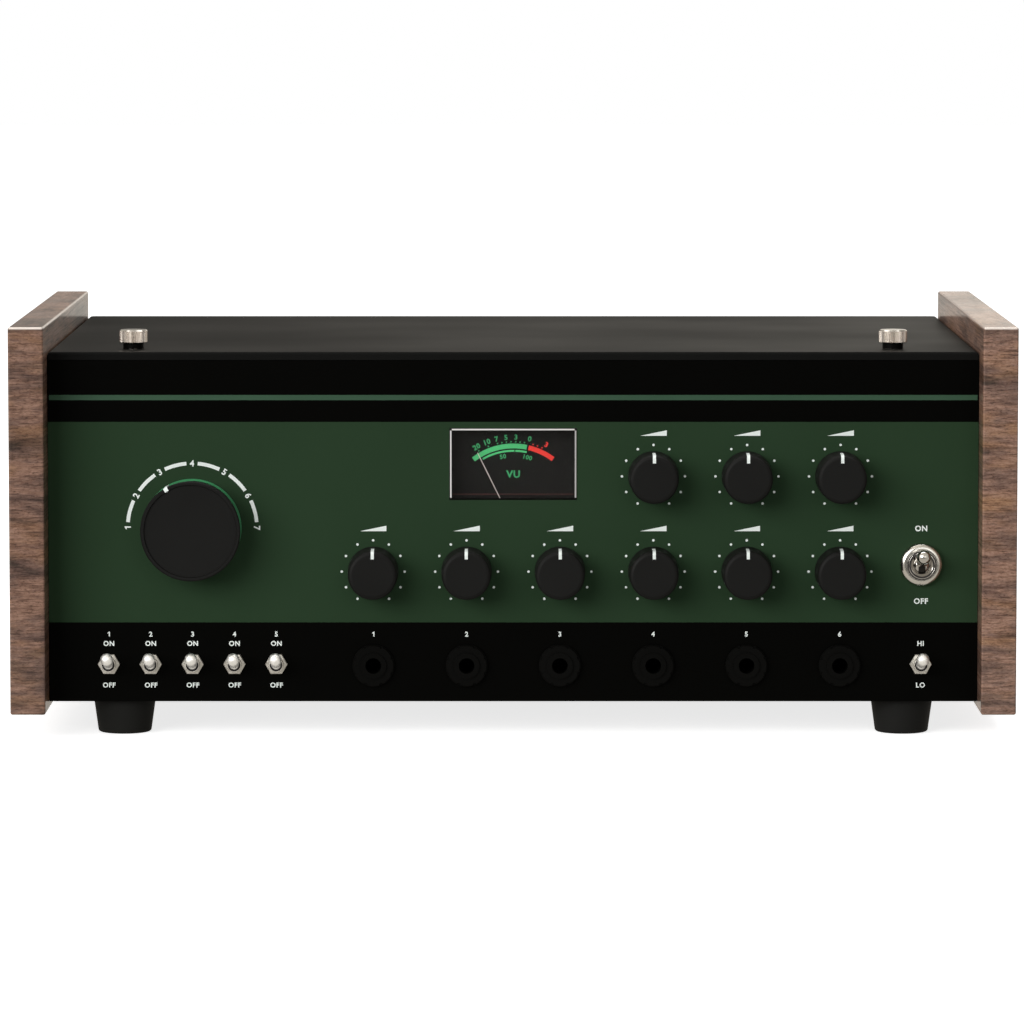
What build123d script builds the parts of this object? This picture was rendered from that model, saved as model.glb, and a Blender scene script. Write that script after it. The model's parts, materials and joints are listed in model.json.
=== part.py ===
from build123d import *
from math import atan2, cos, degrees, hypot, radians, sin
import os

# Tape echo unit: a desktop effects box with walnut end cheeks, a folded steel case,
# a recessed control panel and, under a lift-off cover, an endless-tape transport.
# Millimetres. X to the right, Y to the back, Z up. The origin lies on the surface it
# stands on, under the middle of its bounding box.

# ---- driving dimensions: case ----
overall_width = 415.0
side_thickness = 14.5
side_depth = 270.0
side_height = 160.2
side_edge_radius = 0.9
side_lift = 11.2              # cheek's lower edge above the table
foot_height = 14.4            # chassis underside above the table
front_recess = 20.7           # panel face behind the cheeks' front edges
panel_thickness = 2.0
panel_side_gap = 0.15
sheet = 1.5                   # folded steel of tray, rail, cover and back
cover_top_z = 159.9
cover_lip_height = 3.3
cover_skirt_height = 18.0
cover_overhang = 4.0          # cover's back edge behind the cheeks
cover_side_gap = 0.4
cover_corner_radius = 3.0
cover_edge_radius = 1.2
seam_gap = 0.2                # panel's top edge under the cover's lip
skirt_gap = 0.3
tray_flange = 12.0
rail_depth = 38.0
rail_lip_height = 10.0
panel_return = 12.0
flange_gap = 1.0              # tray's flange behind the rail

# ---- feet and screws ----
foot_top_radius = 13.0
foot_bottom_radius = 11.0
foot_edge_radius = 1.2
foot_inset_x = 30.5           # foot's middle inside the tray's wall
foot_inset_y = 37.0           # foot's middle behind the cheek's front edge
foot_well_radius = 4.6
foot_well_depth = 8.0
screw_radius = 2.0
screw_head_radius = 3.5
screw_head_height = 2.2
screw_clearance = 0.1
screw_bite = 9.0              # how far a screw reaches past the sheet it holds
side_screw_inset_y = 34.0
side_screw_low = 26.0         # heights above the tray's floor
side_screw_high = 112.0
rear_screw_inset = 9.0
nut_edge = 0.2                # chamfer round a hexagon nut's face

# ---- thumb screws that hold the cover ----
thumb_inset_x = 34.5          # inside the cheek
thumb_inset_y = 23.0          # behind the panel's face
thumb_head_radius = 5.85
thumb_head_height = 5.5
thumb_head_chamfer = 0.5
thumb_neck_radius = 4.05
thumb_neck_height = 2.4
thumb_shank_radius = 1.95
thumb_shank_length = 10.0
thumb_running_gap = 0.05
thumb_cover_gap = 0.3
thumb_knurls = 60
thumb_knurl_depth = 0.2
thumb_nut_radius = 4.2
thumb_nut_height = 5.0

# ---- control panel layout, heights above the table ----
layout_width = 386.0          # inner width these X places are drawn for; they spread with it
control_pitch = 38.75
last_control_place = 135.65
lower_knob_z = 68.6
upper_knob_z = 108.3
upper_knob_first = 3          # first column that has an upper knob
control_columns = 6
jack_z = 29.5
toggle_z = 30.1
toggle_pitch = 17.4
first_toggle_place = -168.0
toggle_row_count = 5
right_switch_place = 169.3
power_z = 71.7
mode_place = -133.1
mode_z = 86.9

# ---- small knobs and their potentiometers ----
knob_radius = 10.1
knob_back_radius = 10.5
knob_height = 17.5
knob_edge_radius = 1.8
knob_panel_gap = 0.8
knob_well_radius = 7.6
knob_well_depth = 5.2
knob_wall = 2.4               # plastic in front of the shaft's end
shaft_radius = 3.0
shaft_gap = 0.05
shaft_end_gap = 1.0           # shaft's end in front of the pot's back
marker_width = 1.7
marker_depth = 0.35
marker_length = 3.8           # on the knob's face
pot_radius = 8.25
pot_depth = 8.5
pot_base = 0.8                # metal behind the shaft's bore
pot_bushing_radius = 3.5
pot_bushing_reach = 5.0       # in front of the panel
pot_lug_width = 11.0
pot_lug_drop = 3.5
pot_lug_thickness = 1.4
pot_nut_flats = 10.0
pot_nut_height = 2.0
bushing_hole_gap = 0.1

# ---- mode knob and rotary switch ----
mode_knob_radius = 20.7
mode_knob_back_radius = 19.6
mode_knob_height = 17.0
mode_rim_width = 1.7
mode_rim_depth = 0.8
mode_rim_chamfer = 0.5
mode_well_radius = 13.0       # hollow in the knob's back, over the switch's nut
mode_rest_angle = -30.0       # marker points at the third of seven places
mode_ring_radius = 20.4
mode_ring_bore = 15.0
mode_ring_thickness = 1.1
mode_knob_gap = 0.5           # between ring and knob
switch_radius = 13.0
switch_depth = 12.0
wafer_radius = 16.0
wafer_thickness = 1.4
wafer_gap = 6.0
wafer_spine_radius = 1.5
mode_bushing_radius = 4.5
mode_nut_flats = 12.0

# ---- small toggle switches ----
toggle_bushing_radius = 3.0
toggle_bushing_reach = 5.0
toggle_nut_flats = 8.0
toggle_nut_height = 2.1
toggle_body_width = 8.0
toggle_body_height = 13.2
toggle_body_depth = 10.0
toggle_wall = 1.2
toggle_tilt = 16.5            # lever's lean from the panel's normal, each way
toggle_ball_radius = 2.3
toggle_pivot_depth = 1.5      # behind the bushing's mouth
toggle_neck_radius = 1.6      # inside the bushing
toggle_neck_length = 2.5
toggle_bat_base_radius = 2.0
toggle_bat_tip_radius = 2.6
toggle_bat_length = 14.6      # from the pivot to the tip
toggle_tail_length = 3.0
toggle_tail_radius = 0.7
toggle_lug_width = 1.6
toggle_lug_height = 2.4
toggle_lug_length = 4.0
toggle_lug_pitch = 4.5
ball_gap = 0.1

# ---- power switch ----
power_bushing_radius = 6.0
power_bushing_reach = 6.2
power_nut_radius = 8.9
power_nut_height = 3.6
power_nut_edge = 2.2
power_body_width = 19.0
power_body_height = 33.0
power_body_depth = 18.0
power_wall = 2.0
power_tilt = 17.0
power_ball_radius = 4.5
power_pivot_depth = 3.8
power_neck_radius = 2.2
power_neck_length = 4.6
power_bat_base_radius = 2.3
power_bat_tip_radius = 2.9
power_bat_length = 18.6
power_tail_length = 8.0
power_tail_radius = 1.6
power_lug_width = 6.2
power_lug_thickness = 0.8
power_lug_length = 9.0
power_lug_offset = 9.0

# ---- quarter-inch jacks ----
jack_bore_radius = 3.25
jack_bore_length = 31.0
jack_bushing_radius = 5.4
jack_bushing_reach = 3.2
jack_nut_radius = 8.7
jack_nut_height = 2.4
jack_nut_chamfer = 0.5
jack_nut_notches = 8
jack_nut_notch_radius = 0.9
jack_body_width = 16.0
jack_body_height = 18.0
jack_body_depth = 30.0

# ---- level meter ----
meter_window_width = 52.9
meter_window_low = 98.4
meter_window_high = 128.4
meter_cover_proud = 0.9
meter_cover_bevel = 0.8
meter_cover_gap = 0.1
meter_cover_thickness = 2.2
meter_case_width = 58.0
meter_case_low = 82.0
meter_case_high = 132.0
meter_case_depth = 27.0
meter_case_wall = 1.2
scale_setback = 8.0           # dial plate behind the panel's face
scale_thickness = 0.8
scale_gap = 0.2
needle_setback = 6.0
needle_thickness = 0.3
needle_width = 0.3
needle_length = 33.5
needle_tail = 4.0
needle_hub_radius = 2.0
needle_hub_height = 2.0
needle_pivot_z = 87.6
needle_pin_radius = 0.6
needle_pin_proud = 1.0
needle_rest_angle = -26.2

# ---- boards, transformer and reverb pan ----
board_thickness = 1.6
control_board_margin = 12.0   # board edge beyond the outer pots' axes
control_board_gap = 2.0       # between the board and the meter's case
main_board_width = 235.0
main_board_depth = 84.0
main_board_lift = 8.0
main_board_inset = 7.0        # board's left edge inside the cheek
main_board_front = 62.0       # board's front edge behind the panel's face
standoff_radius = 3.0
board_margin = 6.0
capacitor_radius = 7.0
capacitor_height = 20.0
capacitor_pitch = 19.0
capacitor_count = 5
chip_length = 16.0
chip_width = 6.6
chip_height = 4.0
chip_pitch = 22.0
chip_columns = 8
chip_rows = 2
core_width = 60.0
core_depth = 42.0
core_height = 50.0
core_limb = 10.0
coil_overhang = 11.0
transformer_inset = 47.0      # its middle inside the right cheek
transformer_y = -36.0
transformer_foot = 8.0
pan_length = 236.0
pan_width = 84.0
pan_height = 32.0
pan_lift = 6.0
pan_inset = 9.0               # pan's left end inside the cheek
pan_y = 76.0
pan_rim = 7.0
pan_bearer_inset = 34.0
pan_bearer_width = 6.0
spring_radius = 2.4
spring_count = 3
spring_pitch = 14.0
transducer_length = 22.0
transducer_width = 48.0
transducer_height = 19.0
spring_lift = 11.0            # springs above the pan's underside

# ---- mains inlet ----
inlet_inset = 45.0            # its middle inside the right cheek
inlet_z = 44.0
inlet_flange_width = 50.0
inlet_flange_height = 30.0
inlet_proud = 3.0
inlet_corner_radius = 4.0
inlet_body_width = 29.0
inlet_body_height = 22.0
inlet_body_depth = 24.0
inlet_well_width = 24.2
inlet_well_height = 16.6
inlet_well_depth = 17.5
inlet_well_chamfer = 4.2
blade_width = 2.0
blade_height = 4.0
blade_length = 12.5
blade_root = 1.0              # blade sunk in the well's floor
blade_spacing = 14.0
blade_offset = 2.0            # live blades below, earth blade above the middle
inlet_screw_spacing = 40.0
inlet_hole_radius = 1.8
vent_count = 9
vent_length = 34.0
vent_width = 3.2
vent_pitch = 8.5
vent_x = 34.0

# ---- deck, tape tank and tape ----
deck_z = 118.0
deck_thickness = 2.0
deck_side_gap = 3.0
deck_front = -75.0
deck_rear_gap = 4.0
ledge_width = 12.0
ledge_length = 36.0
ledge_inset = 30.0
tank_wall = 1.5
tank_floor = 2.5
tank_side_gap = 12.0
tank_front = -12.0
tank_rear_gap = 10.0
tank_depth = 16.0
tape_slot = 5.0
lid_thickness = 2.0
lid_notch_radius = 9.0
tape_width = 6.35
tape_thickness = 0.25
tape_gap = 0.3
tape_bend = 8.0
tape_run_y = -50.0
tape_run_half = 152.0
fold_count = 15               # odd, so the last fold meets the front run
fold_margin = 11.0
fold_wander = 16.0

# ---- heads and guides ----
head_width = 12.0
head_depth = 11.0
head_height = 14.0
head_nose_radius = 9.0
head_places = (-96.0, -66.0, -26.0, 6.0, 38.0)
bridge_left = -110.0
bridge_right = 52.0
bridge_depth = 20.0
bridge_thickness = 1.6
guide_groove_radius = 3.0
guide_flange_radius = 4.6
guide_flange_thickness = 1.2
guide_places = (-122.0, 66.0)
corner_post_inset = 0.3

# ---- capstan drive ----
capstan_x = 96.0
capstan_radius = 2.5
capstan_top = 33.0            # above the deck
capstan_tape_gap = 0.25
flywheel_radius = 38.0
flywheel_height = 12.0
flywheel_drop = 10.0          # flywheel's top under the deck
flywheel_web = 4.0
flywheel_rim = 8.0
flywheel_hub_radius = 8.0
flywheel_hub_drop = 3.0
bearing_radius = 7.0
bearing_flange_radius = 16.0
bearing_flange_height = 2.0
bearing_foot_gap = 0.4        # housing's lower end above the flywheel
bearing_gap = 0.05
belt_thickness = 0.9
belt_width = 5.0
belt_gap = 0.3
pulley_radius = 6.0
pulley_flange = 1.2
pulley_height = 10.0
pulley_shaft_length = 10.0    # inside the motor
motor_x = 122.0
motor_y = 46.0
motor_radius = 25.0
motor_height = 44.0
motor_edge_radius = 2.5
motor_bore_depth = 12.0
motor_drop = 26.0             # mounting plate's top under the deck
motor_plate_radius = 31.0
motor_plate_thickness = 2.0
motor_post_radius = 3.0
motor_post_circle = 27.5
motor_shaft_radius = 1.6

# ---- pinch roller ----
roller_radius = 10.0
roller_height = 9.0
roller_chamfer = 0.6
roller_tape_gap = 0.25
roller_pin_radius = 2.0
arm_pivot_x = 130.0
arm_pivot_y = -69.0
arm_thickness = 3.0
arm_hub_radius = 6.0
arm_end_radius = 6.0
arm_stud_radius = 3.0
arm_stud_proud = 1.0
arm_rise = 12.0               # arm's underside above the deck
arm_gap = 0.3

# ---- places worked out from the sizes above ----
overall_depth = side_depth + cover_overhang + inlet_proud - sheet - skirt_gap
half_width = overall_width / 2
inner_half = half_width - side_thickness
front_y = -overall_depth / 2
side_rear_y = front_y + side_depth
panel_y = front_y + front_recess
panel_back_y = panel_y + panel_thickness
cover_rear_y = side_rear_y + cover_overhang
back_y = cover_rear_y - sheet - skirt_gap
back_inner_y = back_y - sheet
side_top_z = side_lift + side_height
tray_z = foot_height
floor_z = tray_z + sheet
cover_under_z = cover_top_z - sheet
rail_z = cover_under_z - sheet
lip_z = cover_top_z - cover_lip_height
wall_inner = inner_half - sheet
spread = 2 * inner_half / layout_width
mode_x = mode_place * spread
right_switch_x = right_switch_place * spread
transformer_x = inner_half - transformer_inset
pan_x = pan_inset + pan_length / 2 - inner_half
inlet_x = inner_half - inlet_inset
deck_top = deck_z + deck_thickness
tape_z = deck_top + tank_floor + tape_gap
flywheel_z = deck_z - flywheel_drop - flywheel_height
belt_z = flywheel_z + (flywheel_height - belt_width) / 2
motor_plate_z = deck_z - motor_drop
capstan_y = tape_run_y + tape_thickness / 2 + capstan_tape_gap + capstan_radius
roller_y = tape_run_y - tape_thickness / 2 - roller_tape_gap - roller_radius
roller_x = capstan_x
foot_x = inner_half - foot_inset_x
foot_front_y = front_y + foot_inset_y
foot_rear_y = side_rear_y - foot_inset_y
thumb_x = inner_half - thumb_inset_x
thumb_y = panel_y + thumb_inset_y
tank_half = inner_half - tank_side_gap
tank_rear = back_inner_y - tank_rear_gap
tank_top = deck_top + tank_depth
control_board_y = panel_back_y + pot_depth


# ---- helpers ----
def block(x0, x1, y0, y1, z0, z1):
    """A box between two corners."""
    middle = ((x0 + x1) / 2, (y0 + y1) / 2, (z0 + z1) / 2)
    return Pos(*middle) * Box(x1 - x0, y1 - y0, z1 - z0)


def upright(radius, z0, z1, x=0.0, y=0.0):
    """A vertical cylinder."""
    return Pos(x, y, (z0 + z1) / 2) * Cylinder(radius, z1 - z0)


def lying_x(radius, x0, x1, y, z):
    """A cylinder along X."""
    return Pos((x0 + x1) / 2, y, z) * Rot(0, 90, 0) * Cylinder(radius, x1 - x0)


def lying_y(radius, y0, y1, x, z):
    """A cylinder along Y."""
    return Pos(x, (y0 + y1) / 2, z) * Rot(90, 0, 0) * Cylinder(radius, y1 - y0)


def turned(points):
    """A solid of revolution about Z from (radius, height) points."""
    outline = make_face(Polyline(*points, close=True))
    return revolve(Plane.XZ * outline, Axis.Z)


def on_panel(x, z):
    """Frame on the panel's face: local Z points out at the player, local Y up."""
    return Plane(origin=(x, panel_y, z), x_dir=(1, 0, 0), z_dir=(0, -1, 0)).location


def hex_nut(flats, height, bore):
    """A hexagon nut standing on its local XY plane, corners left and right."""
    corner_radius = flats / (2 * cos(radians(30)))
    nut = extrude(RegularPolygon(corner_radius, 6), height)
    nut = chamfer(nut.faces().sort_by(Axis.Z)[-1].edges(), nut_edge)
    return nut - upright(bore, -1, height + 1)


def pan_screw(bite=screw_bite):
    """A pan-head screw: head above local Z=0, shank below."""
    edge = screw_head_height * 0.45
    head = [(0, 0), (screw_head_radius, 0), (screw_head_radius, screw_head_height - edge)]
    head = turned(head + [(screw_head_radius - edge, screw_head_height), (0, screw_head_height)])
    return head + upright(screw_radius, -bite, 0)


def save(name, solids):
    """Write one node: a single solid or a group of separate ones."""
    if isinstance(solids, (list, tuple)):
        solids = Compound(children=list(solids))
    export_step(solids, os.path.join("parts", name + ".step"))


def control_x(column):
    """X of a column of controls, counted from the left."""
    return (last_control_place - control_pitch * (control_columns - 1 - column)) * spread


def knob_places():
    """Node name, X and Z of each small knob, lower row first."""
    lower = ["knob_input_volume", "knob_chorus_rate", "knob_chorus_depth"]
    lower += ["knob_reverb_volume", "knob_speed", "knob_echo_volume"]
    upper = ["knob_bass", "knob_treble", "knob_feedback"]
    places = [(name, control_x(i), lower_knob_z) for i, name in enumerate(lower)]
    for i, name in enumerate(upper):
        places.append((name, control_x(upper_knob_first + i), upper_knob_z))
    return places


def toggle_places():
    """Node name and X of each small toggle's lever."""
    names = ["lever_direct", "lever_motor", "lever_layering", "lever_echo", "lever_chorus"]
    places = [(name, (first_toggle_place + toggle_pitch * i) * spread) for i, name in enumerate(names)]
    return places[:toggle_row_count] + [("lever_output_level", right_switch_x)]


def side_screw_places():
    front = front_y + front_recess + side_screw_inset_y
    rear = side_rear_y - side_screw_inset_y
    middle = (front + rear) / 2
    low, high = floor_z + side_screw_low, floor_z + side_screw_high
    return [(y, z) for y in (front, middle, rear) for z in (low, high)]


def rear_screw_places():
    low = floor_z + rear_screw_inset
    high = lip_z - cover_skirt_height - rear_screw_inset
    side = inner_half - rear_screw_inset
    return [(x, z) for x in (-side, 0, side) for z in (low, high)]


def foot_places():
    return [(x, y) for x in (-foot_x, foot_x) for y in (foot_front_y, foot_rear_y)]


# ---- case ----
def side_panel(sign):
    """A solid walnut cheek with eased edges and pilot holes on its inner face."""
    inner, outer = sorted((sign * inner_half, sign * half_width))
    cheek = block(inner, outer, front_y, side_rear_y, side_lift, side_top_z)
    cheek = fillet(cheek.edges(), side_edge_radius)
    pilot = screw_radius + screw_clearance
    reach = sorted((sign * (inner_half - 1), sign * (inner_half + screw_bite)))
    for y, z in side_screw_places():
        cheek -= lying_x(pilot, reach[0], reach[1], y, z)
    return cheek


def chassis_tray():
    """Floor, side walls with inward top flanges, and ledges that carry the deck."""
    tray = block(-inner_half, inner_half, panel_back_y, back_inner_y, tray_z, floor_z)
    flange_front = panel_back_y + rail_depth + flange_gap
    for sign in (-1, 1):
        outer, inner = sign * inner_half, sign * wall_inner
        x0, x1 = sorted((outer, inner))
        tray += block(x0, x1, panel_back_y, back_inner_y, tray_z, cover_under_z)
        x0, x1 = sorted((outer, sign * (inner_half - tray_flange)))
        tray += block(x0, x1, flange_front, back_inner_y, rail_z, cover_under_z)
        x0, x1 = sorted((outer, sign * (inner_half - ledge_width)))
        for y in (deck_front + ledge_inset, back_inner_y - ledge_inset):
            tray += block(x0, x1, y - ledge_length / 2, y + ledge_length / 2, deck_z - sheet, deck_z)
    tray -= tray_holes()
    return tray


def tray_holes():
    hole = screw_radius + screw_clearance
    cuts = [upright(hole, tray_z - 1, floor_z + 1, x, y) for x, y in foot_places()]
    for y, z in side_screw_places():
        cuts += [lying_x(hole, wall_inner - 1, inner_half + 1, y, z)]
        cuts += [lying_x(hole, -inner_half - 1, -wall_inner + 1, y, z)]
    for i in range(vent_count):
        x = transformer_x + (i - (vent_count - 1) / 2) * vent_pitch
        y = transformer_y + core_depth / 2 + coil_overhang + vent_length
        cuts += [block(x - vent_width / 2, x + vent_width / 2, y - vent_length / 2,
                       y + vent_length / 2, tray_z - 1, floor_z + 1)]
    return cuts


def front_panel():
    """Control panel: a flat plate with a folded lower return and all its cut-outs."""
    edge = inner_half - panel_side_gap
    top = lip_z - seam_gap
    panel = block(-edge, edge, panel_y, panel_back_y, tray_z, top)
    inside = wall_inner - panel_side_gap
    panel += block(-inside, inside, panel_back_y, panel_back_y + panel_return, floor_z, floor_z + sheet)
    for _, x, z in knob_places():
        panel -= panel_hole(pot_bushing_radius, x, z)
    panel -= panel_hole(mode_bushing_radius, mode_x, mode_z)
    for _, x in toggle_places():
        panel -= panel_hole(toggle_bushing_radius, x, toggle_z)
    panel -= panel_hole(power_bushing_radius, right_switch_x, power_z)
    for i in range(control_columns):
        panel -= panel_hole(jack_bushing_radius, control_x(i), jack_z)
    half = meter_window_width / 2
    panel -= block(-half, half, panel_y - 1, panel_back_y + 1, meter_window_low, meter_window_high)
    return panel


def panel_hole(radius, x, z):
    return lying_y(radius + bushing_hole_gap, panel_y - 1, panel_back_y + 1, x, z)


def rear_panel():
    """Back sheet with the inlet's cut-out and a row of cooling slots."""
    edge = inner_half - panel_side_gap
    back = block(-edge, edge, back_inner_y, back_y, tray_z, cover_under_z - seam_gap)
    inside = wall_inner - panel_side_gap
    back += block(-inside, inside, back_inner_y - panel_return, back_inner_y, floor_z, floor_z + sheet)
    half_w, half_h = inlet_body_width / 2 + skirt_gap, inlet_body_height / 2 + skirt_gap
    back -= block(inlet_x - half_w, inlet_x + half_w, back_inner_y - 1, back_y + 1,
                  inlet_z - half_h, inlet_z + half_h)
    hole = screw_radius + screw_clearance
    for x, z in rear_screw_places():
        back -= lying_y(hole, back_inner_y - 1, back_y + 1, x, z)
    for offset in (-0.5, 0.5):
        back -= lying_y(inlet_hole_radius, back_inner_y - 1, back_y + 1,
                        inlet_x + offset * inlet_screw_spacing, inlet_z)
    for i in range(vent_count):
        x = vent_x + i * vent_pitch - vent_pitch * (vent_count - 1) / 2
        back -= block(x - vent_width / 2, x + vent_width / 2, back_inner_y - 1, back_y + 1,
                      inlet_z + vent_length / 2, inlet_z + 1.5 * vent_length)
    return back


def front_rail():
    """Angle behind the panel's top: it bears the cover and holds the two captive nuts."""
    rear = panel_back_y + rail_depth
    rail = block(-wall_inner, wall_inner, panel_back_y, rear, rail_z, cover_under_z)
    rail += block(-wall_inner, wall_inner, rear - sheet, rear, rail_z - rail_lip_height, rail_z)
    rail += block(-wall_inner, wall_inner, panel_back_y, panel_back_y + sheet, rail_z - rail_lip_height, rail_z)
    for x in (-thumb_x, thumb_x):
        rail += upright(thumb_nut_radius, rail_z - thumb_nut_height, rail_z, x, thumb_y)
        bore = thumb_shank_radius + thumb_running_gap
        rail -= upright(bore, rail_z - thumb_nut_height - 1, cover_under_z + 1, x, thumb_y)
    return rail


def top_cover():
    """Lift-off lid: a flat sheet folded down at the front edge and at the back."""
    edge = inner_half - cover_side_gap
    cover = block(-edge, edge, panel_y, cover_rear_y, cover_under_z, cover_top_z)
    cover += block(-edge, edge, panel_y, panel_y + sheet, lip_z, cover_under_z)
    skirt_low = cover_under_z - cover_skirt_height
    cover += block(-edge, edge, cover_rear_y - sheet, cover_rear_y, skirt_low, cover_under_z)
    corners = cover.edges().filter_by(Axis.Z).group_by(Axis.Y)[-1]
    cover = fillet(corners, cover_corner_radius)
    folds = cover.faces().sort_by(Axis.Z)[-1].edges().filter_by(Axis.X)
    cover = fillet(folds, cover_edge_radius)
    for x in (-thumb_x, thumb_x):
        hole = thumb_shank_radius + thumb_cover_gap
        cover -= upright(hole, cover_under_z - 1, cover_top_z + 1, x, thumb_y)
    return cover


def thumb_screw(x):
    """A knurled captive screw: head, neck and plain shank."""
    head_z = cover_top_z + thumb_neck_height
    top_z = head_z + thumb_head_height
    flat = thumb_head_radius - thumb_head_chamfer
    rim = [(0, head_z), (flat, head_z), (thumb_head_radius, head_z + thumb_head_chamfer)]
    rim += [(thumb_head_radius, top_z - thumb_head_chamfer), (flat, top_z)]
    head = turned(rim + [(0, top_z)])
    groove = Rot(0, 0, 45) * Box(thumb_knurl_depth * 2, thumb_knurl_depth * 2, thumb_head_height * 2)
    groove = Pos(thumb_head_radius + thumb_knurl_depth * 0.4, 0, head_z) * groove
    head -= [Rot(0, 0, 360 * i / thumb_knurls) * groove for i in range(thumb_knurls)]
    screw = head + upright(thumb_neck_radius, cover_top_z, head_z)
    screw += upright(thumb_shank_radius, cover_under_z - thumb_shank_length, cover_top_z)
    return Pos(x, thumb_y, 0) * screw


def rubber_foot():
    """A tapered foot with a well for its screw, standing at the origin."""
    profile = [(0, 0), (foot_bottom_radius, 0), (foot_top_radius, foot_height), (0, foot_height)]
    foot = turned(profile)
    foot = fillet(foot.edges().sort_by(Axis.Z)[0], foot_edge_radius)
    foot -= upright(foot_well_radius, -1, foot_well_depth)
    return foot - upright(screw_radius + screw_clearance, 0, foot_height + 1)


def case_screws():
    """Pan-head screws of the feet, cheeks and back."""
    down = Rot(180, 0, 0)
    screws = []
    for x, y in foot_places():
        bite = foot_height - foot_well_depth + sheet + screw_radius
        screws.append(Pos(x, y, foot_well_depth) * down * pan_screw(bite))
    for y, z in side_screw_places():
        screws.append(Pos(wall_inner, y, z) * Rot(0, -90, 0) * pan_screw())
        screws.append(Pos(-wall_inner, y, z) * Rot(0, 90, 0) * pan_screw())
    for x, z in rear_screw_places():
        screws.append(Pos(x, back_y, z) * Rot(-90, 0, 0) * pan_screw())
    return screws


# ---- knobs and what they turn ----
def knob_shaft(tip):
    """Control shaft from inside the pot to inside the knob."""
    return upright(shaft_radius, shaft_end_gap - panel_thickness - pot_depth, tip)


def small_knob(x, z):
    """A plain round pointer knob with a marker groove at the top, and its shaft."""
    back = knob_panel_gap
    body = turned([(0, back), (knob_back_radius, back), (knob_radius, knob_height), (0, knob_height)])
    body = fillet(body.edges().sort_by(Axis.Z)[-1], knob_edge_radius)
    body -= upright(knob_well_radius, back - 1, back + knob_well_depth)
    tip = knob_height - knob_wall
    body -= upright(shaft_radius + shaft_gap, back, tip)
    face_cut = block(-marker_width / 2, marker_width / 2, knob_radius - marker_length,
                     knob_back_radius + 1, knob_height - marker_depth, knob_height + 1)
    side_cut = block(-marker_width / 2, marker_width / 2, knob_radius - marker_depth,
                     knob_back_radius + 1, knob_height * 0.45, knob_height + 1)
    body -= face_cut
    body -= side_cut
    place = on_panel(x, z)
    return [place * body, place * knob_shaft(tip)]


def mode_knob():
    """The big selector knob: a thin raised rim round a sunk face, marker on the rim."""
    back = mode_ring_thickness + mode_knob_gap
    top = mode_knob_height
    inner = mode_knob_radius - mode_rim_width
    edge = mode_rim_chamfer
    profile = [(0, back), (mode_knob_back_radius, back), (mode_knob_radius, top - edge)]
    profile += [(mode_knob_radius - edge, top), (inner + edge / 2, top), (inner, top - mode_rim_depth)]
    body = turned(profile + [(0, top - mode_rim_depth)])
    body -= upright(mode_well_radius, back - 1, back + knob_well_depth)
    tip = top - mode_rim_depth - knob_wall
    body -= upright(shaft_radius + shaft_gap, back, tip)
    notch = block(-marker_width / 2, marker_width / 2, inner - 1, mode_knob_radius + 1,
                  top - marker_depth, top + 1)
    place = on_panel(mode_x, mode_z) * Rot(0, 0, -mode_rest_angle)
    return [place * (body - notch), place * knob_shaft(tip)]


def mode_ring():
    ring = upright(mode_ring_radius, 0, mode_ring_thickness)
    return on_panel(mode_x, mode_z) * (ring - upright(mode_ring_bore, -1, mode_ring_thickness + 1))


def mode_switch():
    """Rotary switch: bushing, detent housing and two contact wafers on a spine."""
    back = -panel_thickness
    body = upright(switch_radius, back - switch_depth, back)
    body += upright(mode_bushing_radius, back, pot_bushing_reach)
    rear = back - switch_depth
    for i in (1, 2):
        wafer_back = rear - i * wafer_gap
        body += upright(wafer_radius, wafer_back, wafer_back + wafer_thickness)
    for sign in (-1, 1):
        body += upright(wafer_spine_radius, rear - 2 * wafer_gap, rear, sign * switch_radius * 0.8, 0)
    body -= upright(shaft_radius + shaft_gap, -panel_thickness - pot_depth, pot_bushing_reach + 1)
    return on_panel(mode_x, mode_z) * body


def potentiometer(x, z):
    """A round pot: can, threaded bushing, and solder lugs below."""
    back = -panel_thickness
    body = upright(pot_radius, back - pot_depth, back)
    body += upright(pot_bushing_radius, back, pot_bushing_reach)
    half = pot_lug_width / 2
    rear = back - pot_depth
    body += block(-half, half, -pot_radius - pot_lug_drop, 0, rear, rear + pot_lug_thickness)
    body -= upright(shaft_radius + shaft_gap, rear + pot_base, pot_bushing_reach + 1)
    return on_panel(x, z) * body


def panel_nuts():
    """Hexagon nuts of the pots, the mode switch and the small toggles."""
    nuts = []
    for _, x, z in knob_places():
        nuts.append(on_panel(x, z) * hex_nut(pot_nut_flats, pot_nut_height, pot_bushing_radius))
    mode_nut = hex_nut(mode_nut_flats, pot_nut_height, mode_bushing_radius)
    nuts.append(on_panel(mode_x, mode_z) * mode_nut)
    for _, x in toggle_places():
        nut = hex_nut(toggle_nut_flats, toggle_nut_height, toggle_bushing_radius)
        nuts.append(on_panel(x, toggle_z) * nut)
    return nuts


def control_board():
    """The board that the pots are soldered to, stepped down beside the meter."""
    left = control_x(0) - control_board_margin
    right = control_x(control_columns - 1) + control_board_margin
    step = meter_case_width / 2 + control_board_gap
    low = lower_knob_z - control_board_margin
    high = upper_knob_z + control_board_margin / 2
    shoulder = meter_case_low - control_board_gap
    y0, y1 = control_board_y, control_board_y + board_thickness
    return block(left, right, y0, y1, low, shoulder) + block(step, right, y0, y1, shoulder, high)


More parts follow.
